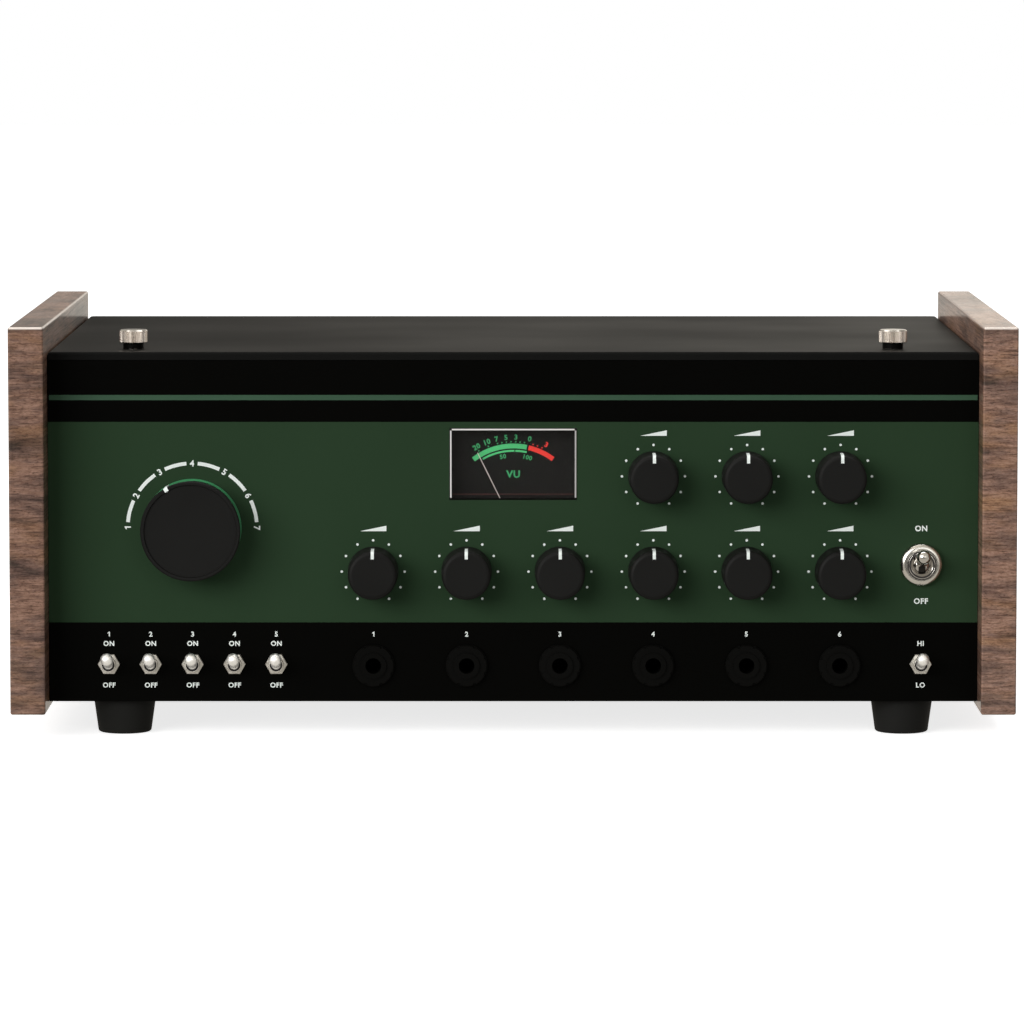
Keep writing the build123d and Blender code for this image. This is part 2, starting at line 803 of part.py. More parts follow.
# ---- switches ----
def toggle_body(x):
    """A miniature toggle's housing and bushing, bored out for the lever's ball."""
    back = -panel_thickness
    half_w, half_h = toggle_body_width / 2, toggle_body_height / 2
    body = block(-half_w, half_w, -half_h, half_h, back - toggle_body_depth, back)
    body += upright(toggle_bushing_radius, back, toggle_bushing_reach)
    body -= upright(toggle_ball_radius + ball_gap, back - toggle_wall, toggle_bushing_reach + 1)
    body -= block(-half_w + toggle_wall, half_w - toggle_wall, -half_h + toggle_wall, half_h - toggle_wall,
                  back - toggle_body_depth + toggle_wall, back - toggle_wall)
    rear = back - toggle_body_depth
    half_w, half_h = toggle_lug_width / 2, toggle_lug_height / 2
    for y in (-toggle_lug_pitch, 0, toggle_lug_pitch):
        body += block(-half_w, half_w, y - half_h, y + half_h, rear - toggle_lug_length, rear)
    return on_panel(x, toggle_z) * body


def bat_lever(ball, neck, neck_length, base, tip, length, tail_radius, tail_length):
    """A bat-shaped lever along local Z with its ball at the origin."""
    shoulder = neck_length + base - neck
    profile = [(0, 0), (neck, 0), (neck, neck_length), (base, shoulder), (tip, length - tip)]
    body = turned(profile + [(0, length - tip)])
    body += Pos(0, 0, length - tip) * Sphere(tip)
    body += Sphere(ball)
    return body + upright(tail_radius, -ball - tail_length, 0)


def toggle_lever(x):
    lever = bat_lever(toggle_ball_radius, toggle_neck_radius, toggle_neck_length, toggle_bat_base_radius,
                      toggle_bat_tip_radius, toggle_bat_length, toggle_tail_radius, toggle_tail_length)
    pivot = Pos(0, 0, toggle_bushing_reach - toggle_pivot_depth)
    return on_panel(x, toggle_z) * pivot * Rot(-toggle_tilt, 0, 0) * lever


def power_lever():
    lever = bat_lever(power_ball_radius, power_neck_radius, power_neck_length, power_bat_base_radius,
                      power_bat_tip_radius, power_bat_length, power_tail_radius, power_tail_length)
    pivot = Pos(0, 0, power_bushing_reach - power_pivot_depth)
    return on_panel(right_switch_x, power_z) * pivot * Rot(-power_tilt, 0, 0) * lever


def power_switch():
    """The mains toggle's housing and bushing."""
    back = -panel_thickness
    half_w, half_h = power_body_width / 2, power_body_height / 2
    body = block(-half_w, half_w, -half_h, half_h, back - power_body_depth, back)
    body += upright(power_bushing_radius, back, power_bushing_reach)
    body -= upright(power_ball_radius + ball_gap, back - power_wall, power_bushing_reach + 1)
    body -= block(-half_w + power_wall, half_w - power_wall, -half_h + power_wall, half_h - power_wall,
                  back - power_body_depth + power_wall, back - power_wall)
    rear = back - power_body_depth
    half_w, half_t = power_lug_width / 2, power_lug_thickness / 2
    for z in (-power_lug_offset, power_lug_offset):
        body += block(-half_w, half_w, z - half_t, z + half_t, rear - power_lug_length, rear)
    return on_panel(right_switch_x, power_z) * body


def power_nut():
    """The round dress nut with its rolled edge."""
    nut = upright(power_nut_radius, 0, power_nut_height)
    nut = fillet(nut.edges().sort_by(Axis.Z)[-1], power_nut_edge)
    return on_panel(right_switch_x, power_z) * (nut - upright(power_bushing_radius, -1, power_nut_height + 1))


# ---- jacks ----
def jack(x):
    """A moulded jack: square housing, round bushing, one straight bore."""
    back = -panel_thickness
    half_w, half_h = jack_body_width / 2, jack_body_height / 2
    body = block(-half_w, half_w, -half_h, half_h, back - jack_body_depth, back)
    body += upright(jack_bushing_radius, back, jack_bushing_reach)
    body -= upright(jack_bore_radius, jack_bushing_reach - jack_bore_length, jack_bushing_reach + 1)
    return on_panel(x, jack_z) * body


def jack_nut(x):
    """A flat round nut with driving notches in its rim."""
    nut = upright(jack_nut_radius, 0, jack_nut_height)
    nut = chamfer(nut.edges().sort_by(Axis.Z)[-1], jack_nut_chamfer)
    nut -= upright(jack_bushing_radius, -1, jack_nut_height + 1)
    notch = upright(jack_nut_notch_radius, jack_nut_height / 2, jack_nut_height + 1, jack_nut_radius, 0)
    nut -= [Rot(0, 0, 360 * (i + 0.5) / jack_nut_notches) * notch for i in range(jack_nut_notches)]
    return on_panel(x, jack_z) * nut


# ---- level meter ----
def meter_middle_z():
    return (meter_window_low + meter_window_high) / 2


def vu_case():
    """The meter's box, open to the panel."""
    half = meter_case_width / 2
    rear = panel_back_y + meter_case_depth
    case = block(-half, half, panel_back_y, rear, meter_case_low, meter_case_high)
    wall = meter_case_wall
    return case - block(-half + wall, half - wall, panel_back_y - 1, rear - wall,
                        meter_case_low + wall, meter_case_high - wall)


def vu_scale():
    """The dial plate across the case, with the needle's pivot pin."""
    half = meter_case_width / 2 - meter_case_wall - scale_gap
    y = panel_y + scale_setback
    low, high = meter_case_low + meter_case_wall + scale_gap, meter_case_high - meter_case_wall - scale_gap
    plate = block(-half, half, y, y + scale_thickness, low, high)
    return plate + lying_y(needle_pin_radius, panel_y + needle_setback - needle_pin_proud, y, 0, needle_pivot_z)


def vu_needle():
    """Pointer blade, counterweight tail and hub, leaning to its rest stop."""
    hub = upright(needle_hub_radius, -needle_hub_height / 2, needle_hub_height / 2)
    blade = block(-needle_width / 2, needle_width / 2, -needle_tail, needle_length,
                  -needle_thickness / 2, needle_thickness / 2)
    needle = hub + blade - upright(needle_pin_radius + shaft_gap, -needle_hub_height, needle_hub_height)
    place = on_panel(0, needle_pivot_z) * Pos(0, 0, -needle_setback)
    return place * Rot(0, 0, -needle_rest_angle) * needle


def vu_window():
    """The clear meter front, bevelled where it stands proud of the panel."""
    width = meter_window_width - 2 * meter_cover_gap
    height = meter_window_high - meter_window_low - 2 * meter_cover_gap
    back = meter_cover_proud - meter_cover_thickness
    glass = Pos(0, 0, (meter_cover_proud + back) / 2) * Box(width, height, meter_cover_thickness)
    glass = chamfer(glass.faces().sort_by(Axis.Z)[-1].edges(), meter_cover_bevel)
    return on_panel(0, meter_middle_z()) * glass


# ---- boards, transformer, reverb and inlet ----
def main_board():
    """The signal and supply board on four standoffs, with its tall parts."""
    left = main_board_inset - inner_half
    front = panel_y + main_board_front
    right, rear = left + main_board_width, front + main_board_depth
    low = floor_z + main_board_lift
    top = low + board_thickness
    board = block(left, right, front, rear, low, top)
    for x in (left + board_margin, right - board_margin):
        for y in (front + board_margin, rear - board_margin):
            board += upright(standoff_radius, floor_z, low, x, y)
    for i in range(capacitor_count):
        x = right - capacitor_radius - board_margin - i * capacitor_pitch
        board += upright(capacitor_radius, top, top + capacitor_height, x, rear - board_margin * 2 - capacitor_radius)
    for i in range(chip_columns):
        for j in range(chip_rows):
            x = left + chip_pitch * (i + 1)
            y = front + board_margin * 2 + chip_pitch * j
            board += block(x - chip_length / 2, x + chip_length / 2, y - chip_width / 2, y + chip_width / 2,
                           top, top + chip_height)
    return board


def power_transformer():
    """Laminated core with a wound coil through its windows, on folded feet."""
    z0, z1 = floor_z, floor_z + core_height
    half_w, half_d = core_width / 2, core_depth / 2
    core = block(-half_w, half_w, -half_d, half_d, z0, z1)
    bobbin = half_w - core_limb
    coil = block(-bobbin, bobbin, -half_d - coil_overhang, half_d + coil_overhang, z0 + core_limb, z1 - core_limb)
    coil = fillet(coil.edges().filter_by(Axis.Z), coil_overhang * 0.7)
    foot = block(-half_w - transformer_foot, half_w + transformer_foot, -half_d, half_d, z0, z0 + sheet)
    return Pos(transformer_x, transformer_y, 0) * (core + coil + foot)


def reverb_tank():
    """Open steel pan on two bearers, with springs strung between end transducers."""
    z0 = floor_z + pan_lift
    half_l, half_w = pan_length / 2, pan_width / 2
    pan = block(-half_l, half_l, -half_w, half_w, z0, z0 + pan_height)
    pan -= block(-half_l + sheet, half_l - sheet, -half_w + sheet, half_w - sheet, z0 + sheet, z0 + pan_height + 1)
    rim_z = z0 + pan_height - sheet
    for sign in (-1, 1):
        x0, x1 = sorted((sign * half_l, sign * (half_l - pan_rim)))
        pan += block(x0, x1, -half_w, half_w, rim_z, rim_z + sheet)
        x = sign * (half_l - pan_bearer_inset)
        pan += block(x - pan_bearer_width / 2, x + pan_bearer_width / 2, -half_w, half_w, floor_z, z0)
        x0, x1 = sorted((sign * (half_l - sheet), sign * (half_l - sheet - transducer_length)))
        top = z0 + sheet + transducer_height
        pan += block(x0, x1, -transducer_width / 2, transducer_width / 2, z0 + sheet, top)
    reach = half_l - sheet - transducer_length
    place = Pos(pan_x, pan_y, 0)
    pieces = [place * pan]
    for i in range(spring_count):
        y = (i - (spring_count - 1) / 2) * spring_pitch
        pieces.append(place * lying_x(spring_radius, -reach, reach, y, z0 + spring_lift))
    return pieces


def iec_inlet():
    """Three-blade mains inlet: flange, keyed well and the blades in it."""
    face = back_y + inlet_proud
    flange = Box(inlet_flange_width, inlet_flange_height, inlet_proud)
    flange = fillet(flange.edges().filter_by(Axis.Z), inlet_corner_radius)
    body = Pos(0, 0, inlet_proud / 2) * flange
    body += block(-inlet_body_width / 2, inlet_body_width / 2, -inlet_body_height / 2, inlet_body_height / 2,
                  -inlet_body_depth, 0)
    well = Pos(0, 0, inlet_proud - inlet_well_depth / 2) * Box(inlet_well_width, inlet_well_height, inlet_well_depth)
    keyed = well.edges().filter_by(Axis.Z).group_by(Axis.Y)[-1]
    body -= chamfer(keyed, inlet_well_chamfer)
    floor = inlet_proud - inlet_well_depth
    for x, y in ((-blade_spacing / 2, -blade_offset), (blade_spacing / 2, -blade_offset), (0, blade_offset)):
        body += block(x - blade_width / 2, x + blade_width / 2, y - blade_height / 2, y + blade_height / 2,
                      floor - blade_root, floor + blade_length)
    for sign in (-0.5, 0.5):
        body -= upright(inlet_hole_radius, -1, inlet_proud + 1, sign * inlet_screw_spacing, 0)
    place = Plane(origin=(inlet_x, face - inlet_proud, inlet_z), x_dir=(-1, 0, 0), z_dir=(0, 1, 0)).location
    return place * body


# ---- deck and tape ----
def deck_plate():
    """Transport plate on the tray's ledges, with the pinch arm's fixed stud."""
    edge = wall_inner - deck_side_gap
    deck = block(-edge, edge, deck_front, back_inner_y - deck_rear_gap, deck_z, deck_top)
    deck -= upright(bearing_radius + screw_clearance, deck_z - 1, deck_top + 1, capstan_x, capstan_y)
    stud_top = deck_top + arm_rise + arm_thickness + arm_stud_proud
    return deck + upright(arm_stud_radius, deck_top, stud_top, arm_pivot_x, arm_pivot_y)


def tape_tank():
    """Shallow open bin that the loose tape lies in, slotted where the tape passes."""
    tank = block(-tank_half, tank_half, tank_front, tank_rear, deck_top, tank_top)
    inside = deck_top + tank_floor
    tank -= block(-tank_half + tank_wall, tank_half - tank_wall, tank_front + tank_wall, tank_rear - tank_wall,
                  inside, tank_top + 1)
    for x in (-tape_run_half, tape_run_half):
        tank -= block(x - tape_slot / 2, x + tape_slot / 2, tank_front - 1, tank_front + tank_wall + 1,
                      inside, tank_top + 1)
    return tank


def tank_lid():
    """Clear sheet that keeps the tape down, with a finger notch in its front edge."""
    lid = block(-tank_half, tank_half, tank_front, tank_rear, tank_top, tank_top + lid_thickness)
    lid = fillet(lid.edges().filter_by(Axis.Z), cover_corner_radius)
    return lid - upright(lid_notch_radius, tank_top - 1, tank_top + lid_thickness + 1, 0, tank_front)


def tape_route():
    """Corner points of the tape's middle line: front run, then folds in the tank."""
    front = tank_front + tank_wall + fold_margin
    rear = tank_rear - tank_wall - fold_margin
    pitch = 2 * tape_run_half / fold_count
    points = [(-tape_run_half, tape_run_y), (tape_run_half, tape_run_y)]
    for i in range(fold_count):
        x = tape_run_half - pitch * i
        wander = fold_wander * (0.5 + 0.5 * sin(1.7 * i))
        turn = rear - wander if i % 2 == 0 else front + wander
        points += [(x, turn), (x - pitch, turn)]
    return points


def tape_loop():
    """The endless tape on edge, a thin closed ribbon."""
    line = FilletPolyline(*tape_route(), radius=tape_bend, close=True)
    outer = make_face(offset(line, tape_thickness / 2))
    inner = make_face(offset(line, -tape_thickness / 2))
    return Pos(0, 0, tape_z) * extrude(outer - inner, tape_width)


def head_bridge():
    """Raised plate that carries the heads."""
    y = tape_run_y + tape_thickness / 2 + tape_gap
    return block(bridge_left, bridge_right, y, y + bridge_depth, deck_top, deck_top + bridge_thickness)


def tape_head(x):
    """A screened head with a rounded nose to the tape."""
    y0 = tape_run_y + tape_thickness / 2 + tape_gap
    z0 = deck_top + bridge_thickness
    half = head_width / 2
    can = block(x - half, x + half, y0, y0 + head_depth, z0, z0 + head_height)
    nose = upright(head_nose_radius, z0, z0 + head_height, x, y0 + head_nose_radius)
    return can & (nose + block(x - half, x + half, y0 + head_nose_radius / 2, y0 + head_depth, z0, z0 + head_height))


def tape_guide(x, y, groove):
    """A flanged guide post standing on the deck."""
    low = tape_z - tape_gap
    high = tape_z + tape_width + tape_gap
    post = upright(groove, deck_top, high, x, y)
    flange = groove + guide_flange_radius - guide_groove_radius
    if low - guide_flange_thickness > deck_top:
        post += upright(flange, low - guide_flange_thickness, low, x, y)
    return post + upright(flange, high, high + guide_flange_thickness, x, y)


def tape_guides():
    clear = tape_thickness / 2 + tape_gap
    posts = [tape_guide(x, tape_run_y + clear + guide_groove_radius, guide_groove_radius) for x in guide_places]
    inside = tape_run_half - tape_bend
    for sign in (-1, 1):
        posts.append(tape_guide(sign * inside, tape_run_y + tape_bend, tape_bend - clear))
    return posts


# ---- capstan drive ----
def capstan_flywheel():
    """Capstan shaft with its weighted flywheel pressed on below the deck."""
    z0, z1 = flywheel_z, flywheel_z + flywheel_height
    rim = flywheel_radius - flywheel_rim
    web_low, web_high = z0 + flywheel_web, z1 - flywheel_web
    foot = z0 - flywheel_hub_drop
    profile = [(0, foot), (flywheel_hub_radius, foot), (flywheel_hub_radius, web_low), (rim, web_low), (rim, z0)]
    profile += [(flywheel_radius, z0), (flywheel_radius, z1), (rim, z1), (rim, web_high)]
    profile += [(flywheel_hub_radius, web_high), (flywheel_hub_radius, z1), (0, z1)]
    wheel = turned(profile)
    shaft = upright(capstan_radius, z1, deck_top + capstan_top)
    return Pos(capstan_x, capstan_y, 0) * (wheel + shaft)


def capstan_bearing():
    """Sleeve housing through the deck, held by its flange."""
    low = flywheel_z + flywheel_height + bearing_foot_gap
    high = deck_top + bearing_flange_height
    house = upright(bearing_radius, low, deck_top)
    house += upright(bearing_flange_radius, deck_top, high)
    house -= upright(capstan_radius + bearing_gap, low - 1, high + 1)
    return Pos(capstan_x, capstan_y, 0) * house


def belt_outline(spread):
    """The hull of flywheel and pulley, both grown by spread."""
    big = Pos(capstan_x, capstan_y) * Circle(flywheel_radius + spread)
    small = Pos(motor_x, motor_y) * Circle(pulley_radius + spread)
    return make_hull(big.edges() + small.edges())


def drive_belt():
    """Flat belt round the flywheel's rim and the motor's pulley."""
    band = belt_outline(belt_gap + belt_thickness) - belt_outline(belt_gap)
    return Pos(0, 0, belt_z) * extrude(band, belt_width)


def drive_motor():
    """Motor can under a round plate, hung from the deck on three posts."""
    top = motor_plate_z
    plate_low = top - motor_plate_thickness
    can = upright(motor_radius, plate_low - motor_height, plate_low)
    can = fillet(can.edges().sort_by(Axis.Z)[0], motor_edge_radius)
    motor = can + upright(motor_plate_radius, plate_low, top)
    for i in range(3):
        angle = radians(90 + 120 * i)
        x, y = motor_post_circle * cos(angle), motor_post_circle * sin(angle)
        motor += upright(motor_post_radius, top, deck_z, x, y)
    motor -= upright(motor_shaft_radius + bearing_gap, plate_low - motor_bore_depth, top + 1)
    return Pos(motor_x, motor_y, 0) * motor


def motor_pulley():
    """Flanged pulley on the motor's shaft."""
    low = belt_z - (pulley_height - belt_width) / 2
    high = low + pulley_height
    groove_low, groove_high = belt_z - belt_gap, belt_z + belt_width + belt_gap
    rim = pulley_radius + pulley_flange
    profile = [(0, low), (rim, low), (rim, groove_low), (pulley_radius, groove_low)]
    profile += [(pulley_radius, groove_high), (rim, groove_high), (rim, high), (0, high)]
    shaft = upright(motor_shaft_radius, motor_plate_z - motor_plate_thickness - pulley_shaft_length, low)
    return Pos(motor_x, motor_y, 0) * (turned(profile) + shaft)


# ---- pinch roller ----
def pinch_arm():
    """Arm from its hub on the deck's stud to the pin that the roller turns on."""
    low = deck_top + arm_rise
    high = low + arm_thickness
    reach = hypot(roller_x - arm_pivot_x, roller_y - arm_pivot_y)
    angle = degrees(atan2(roller_y - arm_pivot_y, roller_x - arm_pivot_x))
    bar = Pos(reach / 2, 0) * SlotCenterToCenter(reach, 2 * arm_end_radius)
    arm = Pos(arm_pivot_x, arm_pivot_y, low) * Rot(0, 0, angle) * extrude(bar, arm_thickness)
    arm += upright(arm_hub_radius, deck_top + arm_gap, high, arm_pivot_x, arm_pivot_y)
    arm += upright(roller_pin_radius, low - arm_gap - roller_height, low, roller_x, roller_y)
    return arm - upright(arm_stud_radius + bearing_gap, deck_top - 1, high + 1, arm_pivot_x, arm_pivot_y)


def pinch_roller():
    """Rubber roller on a bush, level with the tape."""
    high = deck_top + arm_rise - arm_gap
    roller = upright(roller_radius, high - roller_height, high, roller_x, roller_y)
    roller = chamfer(roller.edges().filter_by(GeomType.CIRCLE), roller_chamfer)
    return roller - upright(roller_pin_radius + bearing_gap, deck_top, high + 1, roller_x, roller_y)


# ---- write every node ----
os.makedirs("parts", exist_ok=True)

save("side_panel_left", side_panel(-1))
save("side_panel_right", side_panel(1))
save("chassis_tray", chassis_tray())
save("front_panel", front_panel())
save("rear_panel", rear_panel())
save("front_rail", front_rail())
save("top_cover", top_cover())
save("thumb_screw_left", thumb_screw(-thumb_x))
save("thumb_screw_right", thumb_screw(thumb_x))
save("rubber_feet", [Pos(x, y, 0) * rubber_foot() for x, y in foot_places()])
save("case_screws", case_screws())

save("mode_knob", mode_knob())
save("mode_ring", mode_ring())
save("mode_switch", mode_switch())
for knob_name, knob_x, knob_z in knob_places():
    save(knob_name, small_knob(knob_x, knob_z))
save("potentiometers", [potentiometer(x, z) for _, x, z in knob_places()])
save("panel_nuts", panel_nuts())
save("control_board", control_board())

for lever_name, lever_x in toggle_places():
    save(lever_name, toggle_lever(lever_x))
save("toggle_bodies", [toggle_body(x) for _, x in toggle_places()])
save("power_lever", power_lever())
save("power_switch", power_switch())
save("power_nut", power_nut())
save("jacks", [jack(control_x(i)) for i in range(control_columns)])
save("jack_nuts", [jack_nut(control_x(i)) for i in range(control_columns)])

save("vu_case", vu_case())
save("vu_scale", vu_scale())
save("vu_needle", vu_needle())
save("vu_window", vu_window())

save("main_board", main_board())
save("power_transformer", power_transformer())
save("reverb_tank", reverb_tank())
save("iec_inlet", iec_inlet())

save("deck_plate", deck_plate())
save("tape_tank", tape_tank())
save("tank_lid", tank_lid())
save("tape_loop", tape_loop())
save("head_bridge", head_bridge())
save("tape_heads", [tape_head(x) for x in head_places])
save("tape_guides", tape_guides())
save("capstan_flywheel", capstan_flywheel())
save("capstan_bearing", capstan_bearing())
save("drive_belt", drive_belt())
save("drive_motor", drive_motor())
save("motor_pulley", motor_pulley())
save("pinch_arm", pinch_arm())
save("pinch_roller", pinch_roller())
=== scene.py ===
# %% [markdown]
# # A desktop tape echo, dressed over its CAD frame
# The object is a steel box between two walnut cheeks, with a recessed control panel, a lift-off
# cover and a tape transport inside. The CAD frame already holds every piece at its real size, so
# Blender adds what CAD leaves out: wood, paint, plating, print and the small worked details.
# The frame comes first, because everything below takes its place from it.

# %% Load the frame
import json
from math import cos, pi, radians, sin

import bmesh
import bpy
from mathutils import Matrix, Vector


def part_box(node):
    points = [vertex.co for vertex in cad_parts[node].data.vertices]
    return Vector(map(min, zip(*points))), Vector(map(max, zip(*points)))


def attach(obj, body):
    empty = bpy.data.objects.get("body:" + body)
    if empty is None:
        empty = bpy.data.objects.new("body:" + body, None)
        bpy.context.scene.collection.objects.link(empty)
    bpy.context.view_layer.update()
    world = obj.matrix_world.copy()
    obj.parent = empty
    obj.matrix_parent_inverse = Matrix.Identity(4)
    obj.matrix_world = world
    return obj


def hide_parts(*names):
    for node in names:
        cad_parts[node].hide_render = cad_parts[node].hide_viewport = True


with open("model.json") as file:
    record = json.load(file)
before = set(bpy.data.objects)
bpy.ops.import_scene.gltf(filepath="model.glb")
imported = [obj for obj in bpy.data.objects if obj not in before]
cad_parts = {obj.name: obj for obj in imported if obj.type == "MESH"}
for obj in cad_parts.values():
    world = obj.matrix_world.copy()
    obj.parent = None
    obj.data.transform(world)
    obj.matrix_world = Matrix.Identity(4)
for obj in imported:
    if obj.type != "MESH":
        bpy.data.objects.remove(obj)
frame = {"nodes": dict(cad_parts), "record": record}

for startup_name in ("Cube", "Light", "Camera"):
    if startup_name in bpy.data.objects:
        bpy.data.objects.remove(bpy.data.objects[startup_name])
nodes = frame["nodes"]
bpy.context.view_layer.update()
MM = 0.001                       # the frame is in metres, and the sizes below are in millimetres

# %% [markdown]
# ## The camera
# The unit is seen from the front, a little from above, through a long lens that keeps its sides
# almost parallel. A long lens means a camera far away: its distance sets the perspective, and the
# focal length sets how much of the picture the unit fills.

# %% Camera
sensor_width = 36.0              # mm, like the lengths below
focal_length = 214.1
camera_distance = 2494.6         # in front of the cheeks
camera_height = 323.6
camera_x = -0.49
camera_pitch = 5.228             # degrees down from the level
cheek_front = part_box("side_panel_left")[0].y


def new_object(name, data):
    """An object of the scene that holds this data."""
    made = bpy.data.objects.new(name, data)
    bpy.context.scene.collection.objects.link(made)
    return made


camera = new_object("camera", bpy.data.cameras.new("camera"))
camera.data.sensor_width = sensor_width
camera.data.lens = focal_length
camera.data.clip_end = 50.0      # metres
camera.location = (camera_x * MM, cheek_front - camera_distance * MM, camera_height * MM)
camera.rotation_euler = (radians(90 - camera_pitch), 0, 0)
bpy.context.scene.camera = camera
bpy.context.scene.view_settings.view_transform = "Standard"
print(f"camera at {tuple(round(c, 3) for c in camera.location)}")

# %% [markdown]
# ## Colours and nodes
# Colours are picked as sRGB hex values, as a paint chart gives them, but shaders work in linear
# light, so one function converts them. A second small function adds a node with its settings and
# links in one line, which keeps a material readable from top to bottom. Where a node feeds
# another, its first output is meant, unless a socket is named.

# %% Colour and node helpers
def linear(hex_colour):
    """An sRGB hex colour as linear RGBA."""
    channels = [int(hex_colour[i:i + 2], 16) / 255 for i in (1, 3, 5)]
    return tuple(c / 12.92 if c <= 0.04045 else ((c + 0.055) / 1.055) ** 2.4 for c in channels) + (1.0,)


def feed(tree, node, inputs):
    """Give each input its value, or link it to the node or socket that feeds it."""
    for key, value in inputs.items():
        if isinstance(value, bpy.types.Node):
            value = value.outputs[0]
        if isinstance(value, bpy.types.NodeSocket):
            tree.links.new(value, node.inputs[key])
        else:
            node.inputs[key].default_value = value


def add(tree, kind, inputs=None, **settings):
    """Add one node with its settings, and feed its inputs."""
    node = tree.nodes.new(kind)
    for name, value in settings.items():
        setattr(node, name, value)
    feed(tree, node, inputs or {})
    return node


def empty_tree(owner):
    """The node tree of a world or a material, without the nodes that it starts with."""
    owner.use_nodes = True
    owner.node_tree.nodes.clear()
    return owner.node_tree


def axes(tree, point=None):
    """The X, Y and Z of a point, or of the place that is shaded, in the frame's own metres."""
    if point is None:
        point = add(tree, "ShaderNodeTexCoord").outputs["Object"]
    return add(tree, "ShaderNodeSeparateXYZ", {0: point}).outputs


def ramp(tree, factor, stops):
    """A colour ramp from (position, hex colour) stops."""
    node = add(tree, "ShaderNodeValToRGB", {"Fac": factor})
    for i, (position, colour) in enumerate(stops):
        if i < 2:
            stop = node.color_ramp.elements[i]
            stop.position = position
        else:
            stop = node.color_ramp.elements.new(position)
        stop.color = linear(colour)
    return node


print(f"walnut brown #7a5c4c is {[round(c, 3) for c in linear('#7a5c4c')[:3]]} in linear light")

# %% [markdown]
# ## Floor and light
# A plain studio: a pale floor, a large key lamp at the front left, a soft box overhead that draws
# the bright line along every top edge, and an even dome for the shadows. On the cheeks, that line
# is also a painted highlight in the walnut. To the camera, the background is white by way of the
# Light Path node, so no more light falls on the unit. Gloss sees a white studio too, but not an
# even one: it is dark in a patch behind the camera, and greyer at the back left and the far right.
# Black paint stays black that way, and chrome gets its contrast.

# %% World
dome_strength = 0.25             # light that the dome gives
# What gloss sees in each patch of the studio, where 1 is white.
front_tone, right_tone = 0.07, 0.30              # behind the camera and at the far right
back_left_tone, back_right_tone = 0.04, 1.42
ceiling_tone, floor_grey = 0.75, 0.65            # above on the right, and on the floor
studio_tint = "#fff8ec"          # gloss finds the studio slightly warm
# Where each patch begins and ends, along an axis of the unit vector that points at it.
front_side, front_ahead = (0.2, 0.42), (0.82, 0.93)
right_side = (0.75, 0.95)
back_ahead, back_side = (0.7, 0.95), (-0.22, 0.25)
ceiling_up, ceiling_side = (0.3, 0.6), (-0.2, 0.1)


def fade(tree, value, start, end):
    """0 up to start and 1 from end on, with a soft step between."""
    return add(tree, "ShaderNodeMapRange", {"Value": value, "From Min": start, "From Max": end},
               interpolation_type="SMOOTHSTEP")


def dark_patch(tree, place, side, ahead):
    """1 in the patch behind the camera: narrow in X, and only towards -Y."""
    sideways = add(tree, "ShaderNodeMath", {0: place["X"]}, operation="ABSOLUTE")
    inside = add(tree, "ShaderNodeMath", {0: 1.0, 1: fade(tree, sideways, *side)}, operation="SUBTRACT")
    forward = add(tree, "ShaderNodeMath", {0: place["Y"], 1: -1.0}, operation="MULTIPLY")
    return add(tree, "ShaderNodeMath", {0: fade(tree, forward, *ahead), 1: inside}, operation="MULTIPLY")


def darken(tree, tone, patch, patch_tone):
    """A tone less what a patch takes from it; a patch_tone of 1 takes nothing."""
    drop = add(tree, "ShaderNodeMath", {0: patch, 1: 1.0 - patch_tone}, operation="MULTIPLY")
    return add(tree, "ShaderNodeMath", {0: tone, 1: drop}, operation="SUBTRACT")


def ray_kinds(tree):
    """Whether a ray is the camera's, and whether it comes by way of gloss or clear plastic."""
    path = add(tree, "ShaderNodeLightPath").outputs
    by_gloss = {0: path["Is Glossy Ray"], 1: path["Is Transmission Ray"]}
    return path["Is Camera Ray"], add(tree, "ShaderNodeMath", by_gloss, operation="MAXIMUM")


world = bpy.data.worlds.new("studio")
tree = empty_tree(world)
from_camera, in_gloss = ray_kinds(tree)
heading = axes(tree, add(tree, "ShaderNodeTexCoord").outputs["Generated"])
tone = darken(tree, 1.0, dark_patch(tree, heading, front_side, front_ahead), front_tone)
behind = fade(tree, heading["Y"], *back_ahead)
graded = add(tree, "ShaderNodeMix", {0: fade(tree, heading["X"], *back_side),
                                     2: darken(tree, 1.0, behind, back_left_tone),
                                     3: darken(tree, 1.0, behind, back_right_tone)})
tone = add(tree, "ShaderNodeMath", {0: tone, 1: graded}, operation="MULTIPLY")
tone = darken(tree, tone, fade(tree, heading["X"], *right_side), right_tone)
up, aside = fade(tree, heading["Z"], *ceiling_up), fade(tree, heading["X"], *ceiling_side)
above_right = add(tree, "ShaderNodeMath", {0: up, 1: aside}, operation="MULTIPLY")
tone = darken(tree, tone, above_right, ceiling_tone)
unseen = add(tree, "ShaderNodeMix", {0: in_gloss, 2: dome_strength, 3: tone})
strength = add(tree, "ShaderNodeMix", {0: from_camera, 2: unseen, 3: 1.0})
tint = add(tree, "ShaderNodeMix", {0: in_gloss, 6: (1, 1, 1, 1), 7: linear(studio_tint)}, data_type="RGBA")
dome = add(tree, "ShaderNodeBackground", {"Color": tint.outputs[2], "Strength": strength})
add(tree, "ShaderNodeOutputWorld", {"Surface": dome})
bpy.context.scene.world = world
print(f"dome {dome_strength}, gloss sees {front_tone} ahead and {back_left_tone} to {back_right_tone} behind")

# %% Floor
near_glow, far_glow = 0.78, 1.0  # the floor's own white, close to the unit and far from it
glow_start, glow_end = 0.30, 1.2     # from the unit, in metres as all lengths in this cell
# Where the dark patch begins and ends, and the soft edges of the field of cooling slots.
patch_side, patch_ahead = (0.35, 0.7), (0.4, 0.6)
slots_front, slots_back, slots_side = (0.02, 0.035), (0.06, 0.09), (0.15, 0.19)
floor_radius, floor_drop = 9.0, 0.0002

